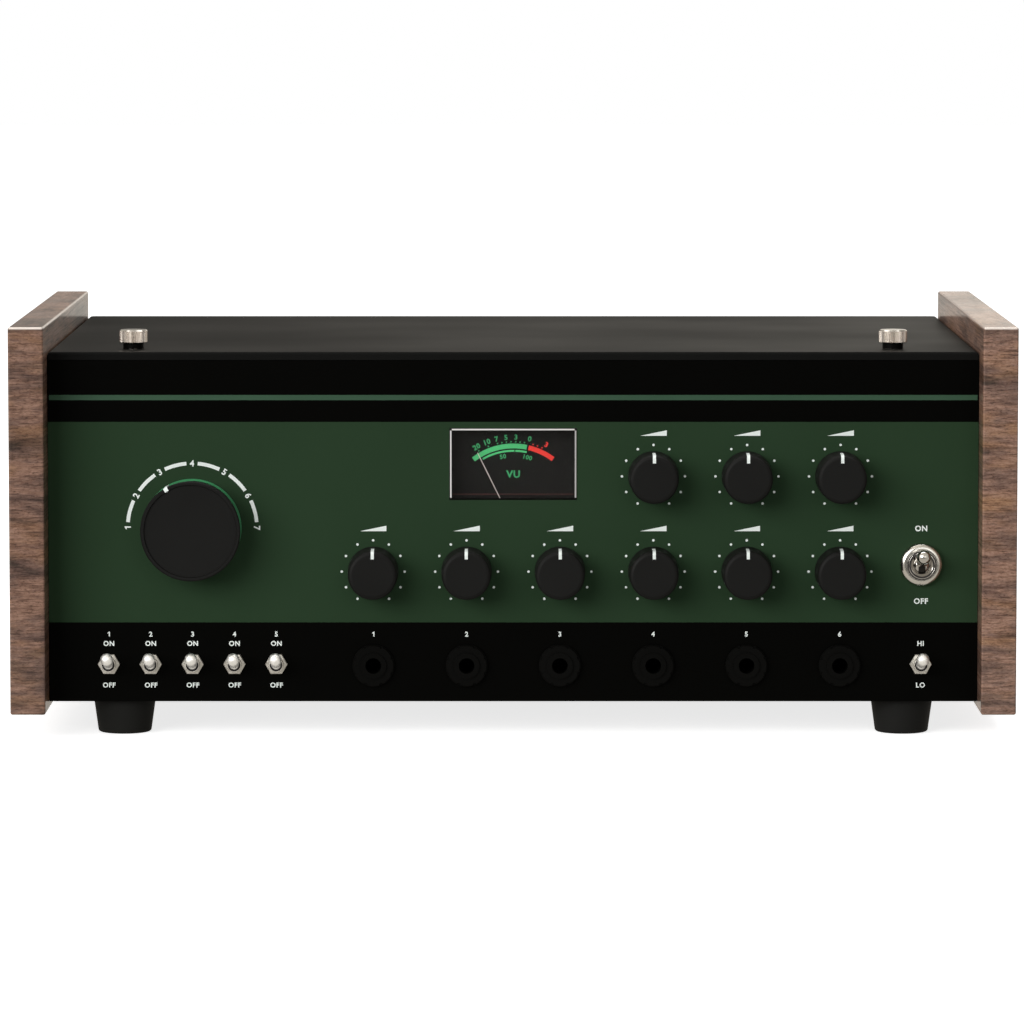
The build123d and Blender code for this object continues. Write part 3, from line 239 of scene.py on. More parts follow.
floor_material = bpy.data.materials.new("studio_floor")
tree = empty_tree(floor_material)
from_camera, in_gloss = ray_kinds(tree)
place = add(tree, "ShaderNodeTexCoord").outputs["Object"]
spot = axes(tree, place)
distance = add(tree, "ShaderNodeVectorMath", {0: place}, operation="LENGTH").outputs["Value"]
glow = add(tree, "ShaderNodeMapRange", {"Value": distance, "From Min": glow_start, "From Max": glow_end,
                                        "To Min": near_glow, "To Max": far_glow},
           interpolation_type="SMOOTHSTEP")
# Under the cooling slots the floor has no glow, because it would shine up through them.
front, back = fade(tree, spot["Y"], *slots_front), fade(tree, spot["Y"], *slots_back)
sideways = fade(tree, add(tree, "ShaderNodeMath", {0: spot["X"]}, operation="ABSOLUTE"), *slots_side)
under = add(tree, "ShaderNodeMath", {0: front, 1: back}, operation="SUBTRACT")
under = add(tree, "ShaderNodeMath", {0: under, 1: sideways}, operation="SUBTRACT", use_clamp=True)
lit = add(tree, "ShaderNodeMath", {0: 1.0, 1: under}, operation="SUBTRACT")
glow = add(tree, "ShaderNodeMath", {0: glow, 1: lit}, operation="MULTIPLY")
white_paint = add(tree, "ShaderNodeBsdfDiffuse", {"Color": linear("#f2f2f0")})
white_glow = add(tree, "ShaderNodeEmission", {"Strength": glow})
seen_plain = add(tree, "ShaderNodeAddShader", {0: white_paint, 1: white_glow})
patch = dark_patch(tree, spot, patch_side, patch_ahead)
floor_tone = darken(tree, floor_grey, patch, 1.0 - floor_grey + front_tone)
seen_in_gloss = add(tree, "ShaderNodeEmission", {"Color": linear(studio_tint), "Strength": floor_tone})
grey_bounce = add(tree, "ShaderNodeBsdfDiffuse", {"Color": linear("#9a9a98")})
mixed = add(tree, "ShaderNodeMixShader", {0: in_gloss, 1: grey_bounce, 2: seen_in_gloss})
mixed = add(tree, "ShaderNodeMixShader", {0: from_camera, 1: mixed, 2: seen_plain})
add(tree, "ShaderNodeOutputMaterial", {"Surface": mixed})

bpy.ops.mesh.primitive_circle_add(vertices=96, radius=floor_radius, fill_type="NGON",
                                  location=(0, 0, -floor_drop))
floor = bpy.context.object
floor.name = "floor"
floor.data.materials.append(floor_material)
print(f"floor glows from {near_glow} to {far_glow}")

# %% Lamps
unit_centre = Vector((0, -0.05, 0.09))


def area_lamp(name, place, width, height, power):
    """A soft box that faces the unit."""
    data = bpy.data.lights.new(name, "AREA")
    data.shape, data.size, data.size_y, data.energy = "RECTANGLE", width, height, power
    lamp = new_object(name, data)
    lamp.location = place
    lamp.rotation_euler = (unit_centre - Vector(place)).to_track_quat("-Z", "Y").to_euler()


area_lamp("key", (-2.1, -2.75, 1.2), 3.0, 1.8, 88.0)
area_lamp("overhead", (0.0, 0.2, 1.6), 1.8, 0.7, 14.0)
area_lamp("fill", (0.6, -2.75, 0.8), 1.2, 1.2, 7.5)
print("lamps: key, overhead and fill")

# %% [markdown]
# ## Finishes
# Every finish starts from what the real surface is and how it was made. Most of them share one
# build: a base colour that drifts a little over centimetres, a roughness that drifts with it, and
# a fine bump at the real grain size. The numbers differ, so one function takes them. Patterns
# read Object coordinates, which are the frame's own metres.

# %% The shared build of a finish
def object_pattern(tree, size_mm, stretch=(1, 1, 1), detail=2.0, roughness=0.5, distortion=0.0):
    """Noise whose blobs are about size_mm across, stretched per axis."""
    coordinates = add(tree, "ShaderNodeTexCoord").outputs["Object"]
    scale = tuple(1 / (size_mm * MM * s) for s in stretch)
    placed = add(tree, "ShaderNodeMapping", {"Vector": coordinates, "Scale": scale})
    return add(tree, "ShaderNodeTexNoise", {"Vector": placed, "Scale": 1.0, "Detail": detail,
                                            "Roughness": roughness, "Distortion": distortion})


def new_material(name):
    """A material with one Principled shader: its tree, the shader and the material itself."""
    material = bpy.data.materials.new(name)
    tree = empty_tree(material)
    shader = add(tree, "ShaderNodeBsdfPrincipled")
    add(tree, "ShaderNodeOutputMaterial", {"Surface": shader})
    return tree, shader, material


def spread(tree, pattern, low, high):
    """Carry a noise pattern to a range; noise stays mostly between 0.3 and 0.7."""
    return add(tree, "ShaderNodeMapRange", {"Value": pattern, "From Min": 0.3, "From Max": 0.7,
                                            "To Min": low, "To Max": high})


def drifting(tree, pattern, colour, drift):
    """A colour that wanders to its drift and back with a pattern."""
    return ramp(tree, spread(tree, pattern, 0.0, 1.0), [(0.0, colour), (1.0, drift)])


def bumped(tree, height, depth_mm):
    """Normals from a height pattern whose hills are depth_mm tall."""
    return add(tree, "ShaderNodeBump", {"Height": height, "Distance": depth_mm * MM})


def plain_finish(name, colour, drift, roughness, grain_mm, grain_depth_mm, specular=0.5, drift_mm=40.0,
                 **more):
    """A finish with a drifting colour and roughness and one fine grain."""
    tree, shader, material = new_material(name)
    slow = object_pattern(tree, drift_mm)
    grain = bumped(tree, object_pattern(tree, grain_mm, detail=1.0), grain_depth_mm)
    feed(tree, shader, {"Base Color": drifting(tree, slow, colour, drift), "Normal": grain,
                        "Roughness": spread(tree, slow, roughness * 0.88, roughness * 1.12),
                        "Specular IOR Level": specular, **more})
    return material


print("noise blobs are given in millimetres")

# %% Plastics, paint, rubber and card
finish = {}
# Slot, name, colour and its drift, roughness, grain and its depth in mm, specular level, and the
# length of a drift in mm.
for slot, name, *numbers in (
        # Powder coat on folded steel: baked polymer powder, matt, with a fine even pebble.
        ("black_steel", "powder_coated_steel", "#171716", "#191918", 0.45, 0.7, 0.010, 0.01, 120.0),
        # Moulded ABS: satin, a hair lighter where the mould was polished.
        ("knob_plastic", "moulded_abs_black", "#141413", "#171716", 0.52, 0.35, 0.004, 0.10),
        # Natural rubber with carbon black: dull and slightly uneven.
        ("rubber", "moulded_rubber", "#1b1b1a", "#1f1f1d", 0.75, 0.9, 0.02, 0.12),
        # Green ABS collar behind the big knob, semi-gloss so that its rim catches the lamp.
        ("green_plastic", "moulded_abs_green", "#37905a", "#318452", 0.35, 0.6, 0.003),
        # Glass-filled nylon of the jacks: black, a dull sheen.
        ("jack_plastic", "glass_filled_nylon", "#060605", "#080807", 0.5, 0.4, 0.004, 0.04),
        # Thermoset moulding of the switch housings.
        ("switch_plastic", "phenolic_moulding", "#191514", "#1e1917", 0.45, 0.5, 0.004),
        # Grey ABS of the tape bin.
        ("grey_plastic", "moulded_abs_grey", "#4c4f50", "#535657", 0.5, 0.5, 0.005),
        # Coated paper dial.
        ("meter_dial", "printed_meter_card", "#131212", "#151413", 0.6, 0.25, 0.002, 0.1),
        # White ink and enamel: clean, slightly warm.
        ("needle_white", "white_enamel", "#f8fffa", "#f4fbf6", 0.45, 0.3, 0.001),
        # Oxide-coated polyester tape: brown-black with a soft sheen.
        ("magnetic_tape", "ferric_oxide_tape", "#2b1a12", "#33211a", 0.32, 0.3, 0.001),
        # Solder mask over glass-fibre laminate.
        ("circuit_board", "solder_masked_laminate", "#1c4a33", "#215239", 0.35, 0.6, 0.004)):
    finish[slot] = plain_finish(name, *numbers)
print(f"{len(finish)} dielectric finishes")

# %% [markdown]
# ## Metals
# Metals differ from each other by colour, polish and the marks of the tool that made them. Plated
# parts are smooth, with waves too slight to see except in a reflection. Brushed sheet has
# scratches stretched along one axis, and a rolled or sawn part has a coarser, duller surface.

# %% Metals
def metal_finish(name, colour, drift, roughness, scratch_mm, scratch_depth_mm, stretch=(1, 1, 1)):
    """A metal with scratches of a given width, stretched along an axis."""
    tree, shader, material = new_material(name)
    marks = object_pattern(tree, scratch_mm, stretch, detail=3.0)
    feed(tree, shader, {"Base Color": drifting(tree, object_pattern(tree, 12.0), colour, drift),
                        "Roughness": spread(tree, marks, roughness * 0.8, roughness * 1.25),
                        "Metallic": 1.0, "Normal": bumped(tree, marks, scratch_depth_mm)})
    return material


bright_chrome = ("#c4c1bc", "#bdbab5", 0.07, 3.0, 0.0008)
# Slot, name, colour and its drift, roughness, scratches and their depth in mm, and their stretch.
for slot, name, *numbers in (
        # Chrome over polished brass: almost a mirror.
        ("chrome", "chrome_plating", *bright_chrome),
        # The same plating over a nut that was barrel-finished first: its mirror is soft.
        ("nut_chrome", "satin_chrome_plating", "#d2cfc8", "#cbc8c1", 0.2, 1.5, 0.0008),
        # Bright nickel on switch levers and nuts: a warmer, softer mirror.
        ("nickel", "bright_nickel_plating", "#cbc8c1", "#c3c0b9", 0.38, 1.2, 0.001),
        # The small levers take a copy of the nickel painted whiter, a painted highlight so that they read as
        # lit, and rougher, without a sharp mirror.
        ("lever_nickel", "tumbled_nickel_plating", "#ffffff", "#fafaf8", 0.48, 1.2, 0.001),
        # Satin nickel on the thumb screws: warm and bright, with upright marks from the knurling wheel.
        ("satin_nickel", "satin_nickel_plating", "#ece2d8", "#ded5cb", 0.27, 0.9, 0.0015, (1, 1, 20)),
        # Black zinc on screws.
        ("screw_steel", "black_zinc_screw", "#3a3a3a", "#444444", 0.38, 0.8, 0.004),
        # Bright zinc on pot cans.
        ("pot_metal", "zinc_plated_can", "#a9abaa", "#9c9e9d", 0.34, 1.5, 0.003),
        # Sheet brushed along X, then anodised.
        ("deck_aluminium", "brushed_aluminium", "#9fa1a3", "#8f9193", 0.36, 0.35, 0.004, (60, 1, 1)),
        # Ground and polished shafts and guides.
        ("polished_steel", "ground_steel", "#b4b5b6", "#a8a9aa", 0.16, 0.4, 0.001, (8, 8, 1)),
        # Turned brass, slightly toned.
        ("brass", "turned_brass", "#b08d4a", "#a07f41", 0.26, 0.4, 0.002, (8, 8, 1)),
        # Varnished laminations of the transformer.
        ("core_steel", "varnished_laminations", "#4a4744", "#3d3a37", 0.5, 0.5, 0.03, (200, 1, 200))):
    finish[slot] = metal_finish(name, *numbers)
print(f"{len(finish)} finishes after the metals")

# %% [markdown]
# ## Walnut
# The cheeks are walnut with a clear satin lacquer. The grain runs in bands that change quickly
# from top to bottom and slowly along the board, so the same solid texture gives streaks on the
# front edge and long figure on the sides. It is built in layers: broad bands of light and dark
# wood, fine fibre lines, short dark pores, and the lacquer as a coat over all of them.

# %% Walnut
edge_highlight_width = 0.9                  # mm from an edge over which the wood is painted paler, a painted highlight
cheek_low, cheek_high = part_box("side_panel_right")


def away_from_edges(tree):
    """0 on the cheeks' front, top and inner edges, and 1 from edge_highlight_width on."""
    at = axes(tree)
    across = add(tree, "ShaderNodeMath", {0: at["X"]}, operation="ABSOLUTE")
    faces = ((at["Y"], 1.0, cheek_low.y), (at["Z"], -1.0, cheek_high.z), (across, 1.0, cheek_low.x))
    front, top, inner = [add(tree, "ShaderNodeMath", {0: axis, 1: way, 2: -way * plane},
                             operation="MULTIPLY_ADD") for axis, way, plane in faces]
    nearest = 1.0                # metres, farther than any point of a cheek
    for a, b, narrow in ((front, top, 0.75), (top, inner, 1.2), (front, inner, 1.8)):
        both = add(tree, "ShaderNodeMath", {0: a, 1: b}, operation="ADD")
        both = add(tree, "ShaderNodeMath", {0: both, 1: narrow}, operation="MULTIPLY")
        nearest = add(tree, "ShaderNodeMath", {0: nearest, 1: both}, operation="MINIMUM")
    return fade(tree, nearest, 0.35 * edge_highlight_width * MM, edge_highlight_width * MM)


def walnut():
    tree, shader, material = new_material("lacquered_walnut")
    bands = object_pattern(tree, 13.0, (5.0, 10.0, 1.0), detail=7.0, roughness=0.72, distortion=0.25)
    streaks = object_pattern(tree, 0.75, (11.0, 70.0, 1.0), detail=3.0, roughness=0.7, distortion=0.1)
    flecks = object_pattern(tree, 0.5, (2.5, 9.0, 1.0), detail=2.0, roughness=0.6, distortion=0.3)
    seams = object_pattern(tree, 3.2, (9.0, 20.0, 1.0), detail=4.0, roughness=0.6, distortion=0.2)
    sap = object_pattern(tree, 9.0, (3.0, 8.0, 1.0), detail=3.0)
    wood = ramp(tree, bands, [(0.34, "#57483f"), (0.41, "#7b6258"), (0.47, "#947769"), (0.53, "#b08c79"),
                              (0.58, "#b8937e"), (0.63, "#9b7b6d"), (0.70, "#7f655a"), (0.78, "#67534b")])
    tan = ramp(tree, sap, [(0.50, "#ffffff"), (0.66, "#faf3dc")])
    lines = ramp(tree, streaks, [(0.34, "#8d7e77"), (0.46, "#dcd4cf"), (0.62, "#ffffff")])
    specks = ramp(tree, flecks, [(0.28, "#5a4a44"), (0.40, "#d8cfca"), (0.60, "#ffffff")])
    dark_seams = ramp(tree, seams, [(0.29, "#4b3c37"), (0.38, "#ffffff")])
    # A painted shade: the left cheek's wood is a little darker than the right's, because the right cheek is
    # lit more.
    on_right = add(tree, "ShaderNodeMath", {0: axes(tree)["X"], 1: 0.0}, operation="GREATER_THAN")
    left_cheek_shade = ramp(tree, on_right, [(0.0, "#e4e2e1"), (1.0, "#ffffff")])
    coloured = wood
    for amount, layer in ((1.0, left_cheek_shade), (1.0, tan), (0.85, lines), (0.7, specks), (0.8, dark_seams)):
        coloured = add(tree, "ShaderNodeMix", {0: amount, 6: coloured, 7: layer}, data_type="RGBA",
                       blend_type="MULTIPLY").outputs[2]
    # A near-white band along the cheeks' front, top and inner edges is a painted highlight: the line that the
    # overhead lamp draws there.
    edge_highlit = add(tree, "ShaderNodeMix", {0: away_from_edges(tree), 6: linear("#fff2e6"), 7: coloured},
                data_type="RGBA").outputs[2]
    height = add(tree, "ShaderNodeMath", {0: streaks, 1: flecks}, operation="ADD")
    feed(tree, shader, {"Base Color": edge_highlit, "Roughness": spread(tree, streaks, 0.5, 0.36),
                        "Specular IOR Level": 0.2, "Normal": bumped(tree, height, 0.008),
                        "Coat Weight": 0.55, "Coat Roughness": 0.15})
    return material


finish["walnut"] = walnut()
print("walnut: bands 13 mm, seams 3.2 mm, streaks 0.75 mm, flecks 0.5 mm")

# %% [markdown]
# ## The control panel's paint
# The panel is screened in two colours on sheet steel: black for the header and the lower strip,
# dark green for the field between them. Both colours sit in one material that switches on height,
# because real screen ink meets in a crisp line with no step that the eye can see.

# %% Panel paint
green_low, green_high = 47.4, 130.9      # mm above the table
panel_black = "#040403"
panel_green, green_drift = "#2b3f2b", "#2d412d"


def panel_paint():
    tree, shader, material = new_material("screened_panel_enamel")
    height = axes(tree)["Z"]
    above = add(tree, "ShaderNodeMath", {0: height, 1: green_low * MM}, operation="GREATER_THAN")
    below = add(tree, "ShaderNodeMath", {0: height, 1: green_high * MM}, operation="LESS_THAN")
    inside = add(tree, "ShaderNodeMath", {0: above, 1: below}, operation="MULTIPLY")
    slow = object_pattern(tree, 60.0)
    green = drifting(tree, slow, panel_green, green_drift)
    paint = add(tree, "ShaderNodeMix", {0: inside, 6: linear(panel_black), 7: green}, data_type="RGBA")
    peel = object_pattern(tree, 0.9, detail=1.0)
    feed(tree, shader, {"Base Color": paint.outputs[2], "Roughness": spread(tree, slow, 0.46, 0.54),
                        "Specular IOR Level": 0.02, "Normal": bumped(tree, peel, 0.004)})
    return material


finish["panel_paint"] = panel_paint()
print(f"panel green from {green_low} to {green_high} mm")

# %% [markdown]
# ## Clear plastic
# The meter front and the tank's lid are cast acrylic. Light has to pass through them to reach what
# lies behind, and a path tracer finds few such paths through real refraction, so lamp rays see a
# transparent shader instead. The camera still sees polished acrylic with its bevels.

# %% Clear acrylic
def clear_acrylic():
    tree, shader, material = new_material("cast_acrylic")
    feed(tree, shader, {"Base Color": linear("#fbfdfc"), "Roughness": 0.02, "IOR": 1.49,
                        "Transmission Weight": 1.0})
    lamp_rays = add(tree, "ShaderNodeLightPath").outputs["Is Shadow Ray"]
    through = add(tree, "ShaderNodeBsdfTransparent", {"Color": linear("#f4f6f5")})
    mixed = add(tree, "ShaderNodeMixShader", {0: lamp_rays, 1: shader, 2: through})
    feed(tree, tree.nodes["Material Output"], {"Surface": mixed})
    return material


finish["clear_plastic"] = clear_acrylic()
print("clear acrylic, IOR 1.49")

# %% [markdown]
# ## The power lever's painted dark reflection
# A dark band runs up the lever's ball to the neck, between two sides of clean chrome: a painted
# reflection of the dark below the tip. It is painted into the plating's own colour, by the distance
# from the lever's pivot and from the plane of its swing. The pivot comes from the frame's joint.

# %% Painted dark band on the power lever
dark_band_end, plain_chrome_start = 4.55, 4.9   # from the pivot's centre, in mm; the ball's radius is 4.5
dark_band_edge, side_start = 1.3, 1.7    # from the plane of the swing, in mm
joints = frame["record"]["behaviour"]["joints"]
pivot = next(joint for joint in joints if joint["name"] == "power_flip")["pos_m"]

dark_banded_lever = metal_finish("chrome_plating_painted_dark_band", *bright_chrome)
tree = dark_banded_lever.node_tree
shader = tree.nodes["Principled BSDF"]
place = add(tree, "ShaderNodeTexCoord").outputs["Object"]
offset = add(tree, "ShaderNodeVectorMath", {0: place, 1: pivot}, operation="SUBTRACT")
reach = add(tree, "ShaderNodeVectorMath", {0: offset}, operation="LENGTH").outputs["Value"]
sideways = add(tree, "ShaderNodeMath", {0: axes(tree, offset)["X"]}, operation="ABSOLUTE")
past_end = fade(tree, reach, dark_band_end * MM, plain_chrome_start * MM)
past_side = fade(tree, sideways, dark_band_edge * MM, side_start * MM)
# Outside the band the chrome stays plain.
clean = add(tree, "ShaderNodeMath", {0: past_end, 1: past_side}, operation="MAXIMUM")
plating = shader.inputs["Base Color"].links[0].from_socket
# The band's dark colour is a painted reflection.
mixed = add(tree, "ShaderNodeMix", {0: clean, 6: linear("#2b2a28"), 7: plating}, data_type="RGBA")
feed(tree, shader, {"Base Color": mixed.outputs[2]})
# The band printed here is the painted dark reflection.
print(f"grease up to {dark_band_end} mm from the pivot at {[round(c, 4) for c in pivot]}")

# %% [markdown]
# ## Dressing the CAD nodes
# Each CAD node keeps its shape and takes the finish of its own material slot. The slot's name is
# already on the imported mesh, so a loop can swap every slot for the finish that was made for it.

# %% Finishes on the CAD nodes
# These two share a slot with the switches, but are moulded in black.
for name in ("vu_case", "iec_inlet"):
    nodes[name].data.materials[0] = finish["knob_plastic"]
for name in ("thumb_screw_left", "thumb_screw_right"):
    nodes[name].data.materials[0] = finish["satin_nickel"]
for name in nodes:
    if name.startswith("lever_"):
        nodes[name].data.materials[0] = finish["lever_nickel"]
nodes["power_nut"].data.materials[0] = finish["nut_chrome"]
nodes["power_lever"].data.materials[0] = dark_banded_lever
# The meter's needle is a bare painted wire, duller than the print.
finish["needle_wire"] = plain_finish("needle_paint", "#d6c6c3", "#cdbdba", 0.5, 0.3, 0.001)
nodes["vu_needle"].data.materials[0] = finish["needle_wire"]
undressed = []
for name, node in nodes.items():
    for i, old in enumerate(node.data.materials):
        if old.name in finish:
            node.data.materials[i] = finish[old.name]
        elif old not in finish.values():
            undressed.append((name, old.name))
print(f"dressed {len(nodes)} nodes, left {undressed}")

# %% [markdown]
# ## Mesh helpers
# Printed marks, inlays and turned parts are drawn in a frame of their own, whose Z axis points out
# of the panel at the player, and are then placed. Three helpers make nearly all of them. A block
# runs through rings of points and is capped at both ends, a mark is a block of ink with a flat
# outline, and a lathe turns a profile about its own Z axis.

# %% Mesh helpers
panel_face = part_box("front_panel")[0].y / MM
ink = 0.05                       # mm that print stands proud of what carries it
sunk = 0.02                      # mm that its back lies inside it


def on_panel(x, z, out=0.0):
    """Frame on the panel's face in mm: X right, Y up, Z out at the player."""
    turned = Matrix(((1, 0, 0, 0), (0, 0, -1, 0), (0, 1, 0, 0), (0, 0, 0, 1)))
    return Matrix.Translation((x, panel_face - out, z)) @ turned


def clockwise(angle):
    """A turn on the panel by an angle in degrees."""
    return Matrix.Rotation(radians(-angle), 4, "Z")


def clock(radius, angle):
    """A point by its angle in degrees clockwise from straight up."""
    return radius * sin(radians(angle)), radius * cos(radians(angle))


def join_rings(bm, low, high):
    """A wall between two rings of points, either of which may be a single point."""
    count = max(len(low), len(high))
    for i in range(count):
        j = (i + 1) % count
        corners = [low[i % len(low)], low[j % len(low)], high[j % len(high)], high[i % len(high)]]
        bm.faces.new(list(dict.fromkeys(corners)))


def block(bm, rings, place):
    """A solid through rings of points, capped at both ends."""
    rings = [[bm.verts.new(place @ Vector(point)) for point in ring] for ring in rings]
    bm.faces.new(rings[0][::-1])
    bm.faces.new(rings[-1])
    for low, high in zip(rings, rings[1:]):
        join_rings(bm, low, high)


def mark(bm, outline, place):
    """A block of ink with a flat outline, given anticlockwise."""
    block(bm, [[(x, y, height) for x, y in outline] for height in (-sunk, ink)], place)


def bar(length, width, middle=0.0):
    """The outline of an upright bar's or a line's rectangle."""
    low, high = middle - width / 2, middle + width / 2
    return [(-length / 2, low), (length / 2, low), (length / 2, high), (-length / 2, high)]


def band(bm, radius, width, start, end, place, step=2.5):
    """A flat strip of ink along an arc from start to end, clockwise from straight up."""
    count = max(2, round((end - start) / step))
    angles = [start + (end - start) * i / count for i in range(count + 1)]
    inner = [clock(radius - width / 2, a) for a in angles]
    outer = [clock(radius + width / 2, a) for a in reversed(angles)]
    mark(bm, inner + outer, place)


def lathe(bm, profile, place, steps=96, closed=False):
    """Turn (radius, height) points, given from the back to the front on the outside."""
    around = [(cos(2 * pi * i / steps), sin(2 * pi * i / steps)) for i in range(steps)]
    rings = []
    for radius, height in profile:
        points = [(radius * x, radius * y, height) for x, y in (around if radius else around[:1])]
        rings.append([bm.verts.new(place @ Vector(point)) for point in points])
    for low, high in zip(rings, rings[1:] + (rings[:1] if closed else [])):
        join_rings(bm, low, high)


def smooth(mesh, sharp_angle=35):
    mesh.shade_smooth()
    mesh.set_sharp_from_angle(angle=radians(sharp_angle))


def to_mesh(name, bm):
    """Turn mm to metres and hand the shape over as a mesh."""
    bmesh.ops.scale(bm, vec=(MM, MM, MM), verts=bm.verts)
    mesh = bpy.data.meshes.new(name)
    bm.to_mesh(mesh)
    bm.free()
    return mesh


def make_piece(name, bm, body, slot=None, material=None, sharp_angle=35):
    """Smooth all but sharp edges, and let the piece ride on its body."""
    mesh = to_mesh(name, bm)
    smooth(mesh, sharp_angle)
    mesh.materials.append(material or finish[slot])
    piece = new_object(name, mesh)
    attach(piece, body)


print(f"panel face at y = {panel_face:.1f} mm")

# %% [markdown]
# ## Lettering
# Small marks are screened in white. Blender's own font is thin for that, so its outline is
# thickened with the text's offset. The text becomes a mesh before it is placed, since only a mesh
# may stay in the finished model.

# %% Lettering
letter_spacing = 1.12            # a little open, so that thick letters don't touch
capital_share = 0.729            # the font's capitals, as a share of its size


def evaluated_mesh(made):
    """The plain mesh that an object's text or modifier makes."""
    return bpy.data.meshes.new_from_object(made.evaluated_get(bpy.context.evaluated_depsgraph_get()))


def lettering(bm, text, cap_height, place, angle=0.0, bold=0.032):
    """Add centred text to a mesh; cap_height in mm, angle in degrees clockwise."""
    data = bpy.data.curves.new("text", "FONT")
    data.body = text
    data.align_x, data.align_y = "CENTER", "CENTER"
    data.size = cap_height / capital_share
    data.offset = bold * data.size
    data.space_character = letter_spacing
    data.extrude = (ink + sunk) / 2
    data.resolution_u = 3
    writer = new_object("text", data)
    mesh = evaluated_mesh(writer)
    heights = [v.co.y for v in mesh.vertices]
    middle = (min(heights) + max(heights)) / 2
    mesh.transform(place @ clockwise(angle) @ Matrix.Translation((0, -middle, (ink - sunk) / 2)))
    bm.from_mesh(mesh)
    bpy.data.objects.remove(writer)
    bpy.data.curves.remove(data)
    bpy.data.meshes.remove(mesh)


def numeral(bm, number, cap_height, place, angle=0.0):
    """A number in the same print; the font's 1 is a bare bar, so that one is drawn with a flag."""
    if number != 1:
        lettering(bm, str(number), cap_height, place, angle)
        return
    one = [(0.0, -0.5), (0.22, -0.5), (0.22, 0.5), (0.06, 0.5), (-0.24, 0.3), (-0.24, 0.1), (0.0, 0.22)]
    mark(bm, [(x * cap_height, y * cap_height) for x, y in one], place @ clockwise(angle))


print(f"letters are spaced {letter_spacing} times as wide as the font's own")

# %% [markdown]
# ## What the panel says
# The print is generic: ON and OFF at the switches, 1 to 7 round the mode knob, a growing wedge
# above each small knob for more, and a plain number at each switch and jack. A thin green line
# runs across the header.

# %% Controls of the panel
def middle_of(node):
    """X and Z of a node's middle, in mm."""
    low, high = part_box(node)
    return (low.x + high.x) / 2 / MM, (low.z + high.z) / 2 / MM


knob_places = {n: middle_of(n) for n in sorted(nodes) if n.startswith("knob_")}
toggle_names = ["lever_direct", "lever_motor", "lever_layering", "lever_echo", "lever_chorus"]
toggle_x = [middle_of(n)[0] for n in toggle_names]
toggle_z = middle_of("toggle_bodies")[1]
level_x = middle_of("lever_output_level")[0]
power_x, power_z = middle_of("power_nut")
mode_x, mode_z = middle_of("mode_ring")
lower_row = min(z for _, z in knob_places.values())
jack_x = sorted(x for x, z in knob_places.values() if abs(z - lower_row) < 1)
print(f"{len(knob_places)} knobs, {len(toggle_x) + 1} small toggles, {len(jack_x)} jacks")

# %% White print
wedge_length, wedge_height = 11.0, 2.3
wedge_lift = 18.0                # a wedge's middle above its knob's axis
caps, power_caps = 2.05, 2.3     # heights of the capitals
number_lift = 12.4               # a number above the row of toggles and jacks
word_lift, word_drop = 8.5, 8.9  # the words above and below a small toggle
power_lift, power_drop = 14.9, 15.4

white = bmesh.new()
wedge = bar(wedge_length, wedge_height)[:3]      # three corners of a bar, so it grows to the right
for x, z in knob_places.values():
    mark(white, wedge, on_panel(x, z + wedge_lift))
small_toggles = [("ON", "OFF", x) for x in toggle_x] + [("HI", "LO", level_x)]
words = [(*toggle, toggle_z, caps, word_lift, word_drop) for toggle in small_toggles]
words.append(("ON", "OFF", power_x, power_z, power_caps, power_lift, power_drop))
for upper, lower, x, z, height, lift, drop in words:
    lettering(white, upper, height, on_panel(x, z + lift))
    lettering(white, lower, height, on_panel(x, z - drop))
for row in (toggle_x, jack_x):
    for i, x in enumerate(row):
        numeral(white, i + 1, caps, on_panel(x, toggle_z + number_lift))
print(f"{len(white.verts)} points of small print")

# %% Mode dial and header line
places, first_angle, dial_step = 7, -90.0, 30.0
dial_radius, dial_caps, dial_line = 26.8, 2.6, 1.5
dial_gap = 5.0                   # degrees between a number's middle and the arc beside it
for i in range(places):
    angle = first_angle + dial_step * i
    x, z = clock(dial_radius, angle)
    numeral(white, i + 1, dial_caps, on_panel(mode_x + x, mode_z + z), angle)
    if i < places - 1:
        band(white, dial_radius, dial_line, angle + dial_gap, angle + dial_step - dial_gap,
             on_panel(mode_x, mode_z))
make_piece("panel_print_white", white, "case", "needle_white")

line_low, line_high = 139.95, 142.1      # above the table
line_inset = 0.6                 # from each end of the panel
line_length = 2 * (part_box("front_panel")[1].x / MM - line_inset)
green = bmesh.new()
mark(green, bar(line_length, line_high - line_low, (line_low + line_high) / 2), on_panel(0, 0))
line_ink = plain_finish("green_line_ink", "#35523e", "#395742", 0.5, 0.9, 0.002, 0.15)
make_piece("panel_print_line", green, "case", "panel_paint", line_ink)
print(f"{places} places on the dial, and a line {line_length:.1f} mm long")

# %% [markdown]
# ## Dot scales with Geometry Nodes
# Each small knob has eleven white dots, thirty degrees apart. That is a pattern of a pattern: a
# dot repeated round a ring, and the ring repeated on nine places. A node tree says it once, with
# its sizes as named inputs. The mesh it runs on is only a cloud of points, one for each knob.

# %% Tree helpers
def new_tree(name, sockets):
    """A geometry tree with typed inputs: its tree and its input node's outputs by name."""
    tree = bpy.data.node_groups.new(name, "GeometryNodeTree")
    tree.interface.new_socket("Geometry", in_out="INPUT", socket_type="NodeSocketGeometry")
    for label, kind in sockets.items():
        tree.interface.new_socket(label, in_out="INPUT", socket_type="NodeSocket" + kind)
    tree.interface.new_socket("Geometry", in_out="OUTPUT", socket_type="NodeSocketGeometry")
    return tree, add(tree, "NodeGroupInput").outputs


def end_tree(tree, geometry, material):
    """Realize the instances, set the material and hand the mesh out."""
    real = add(tree, "GeometryNodeRealizeInstances", {0: geometry})
    painted = add(tree, "GeometryNodeSetMaterial", {"Geometry": real, "Material": material})
    add(tree, "NodeGroupOutput", {0: painted})


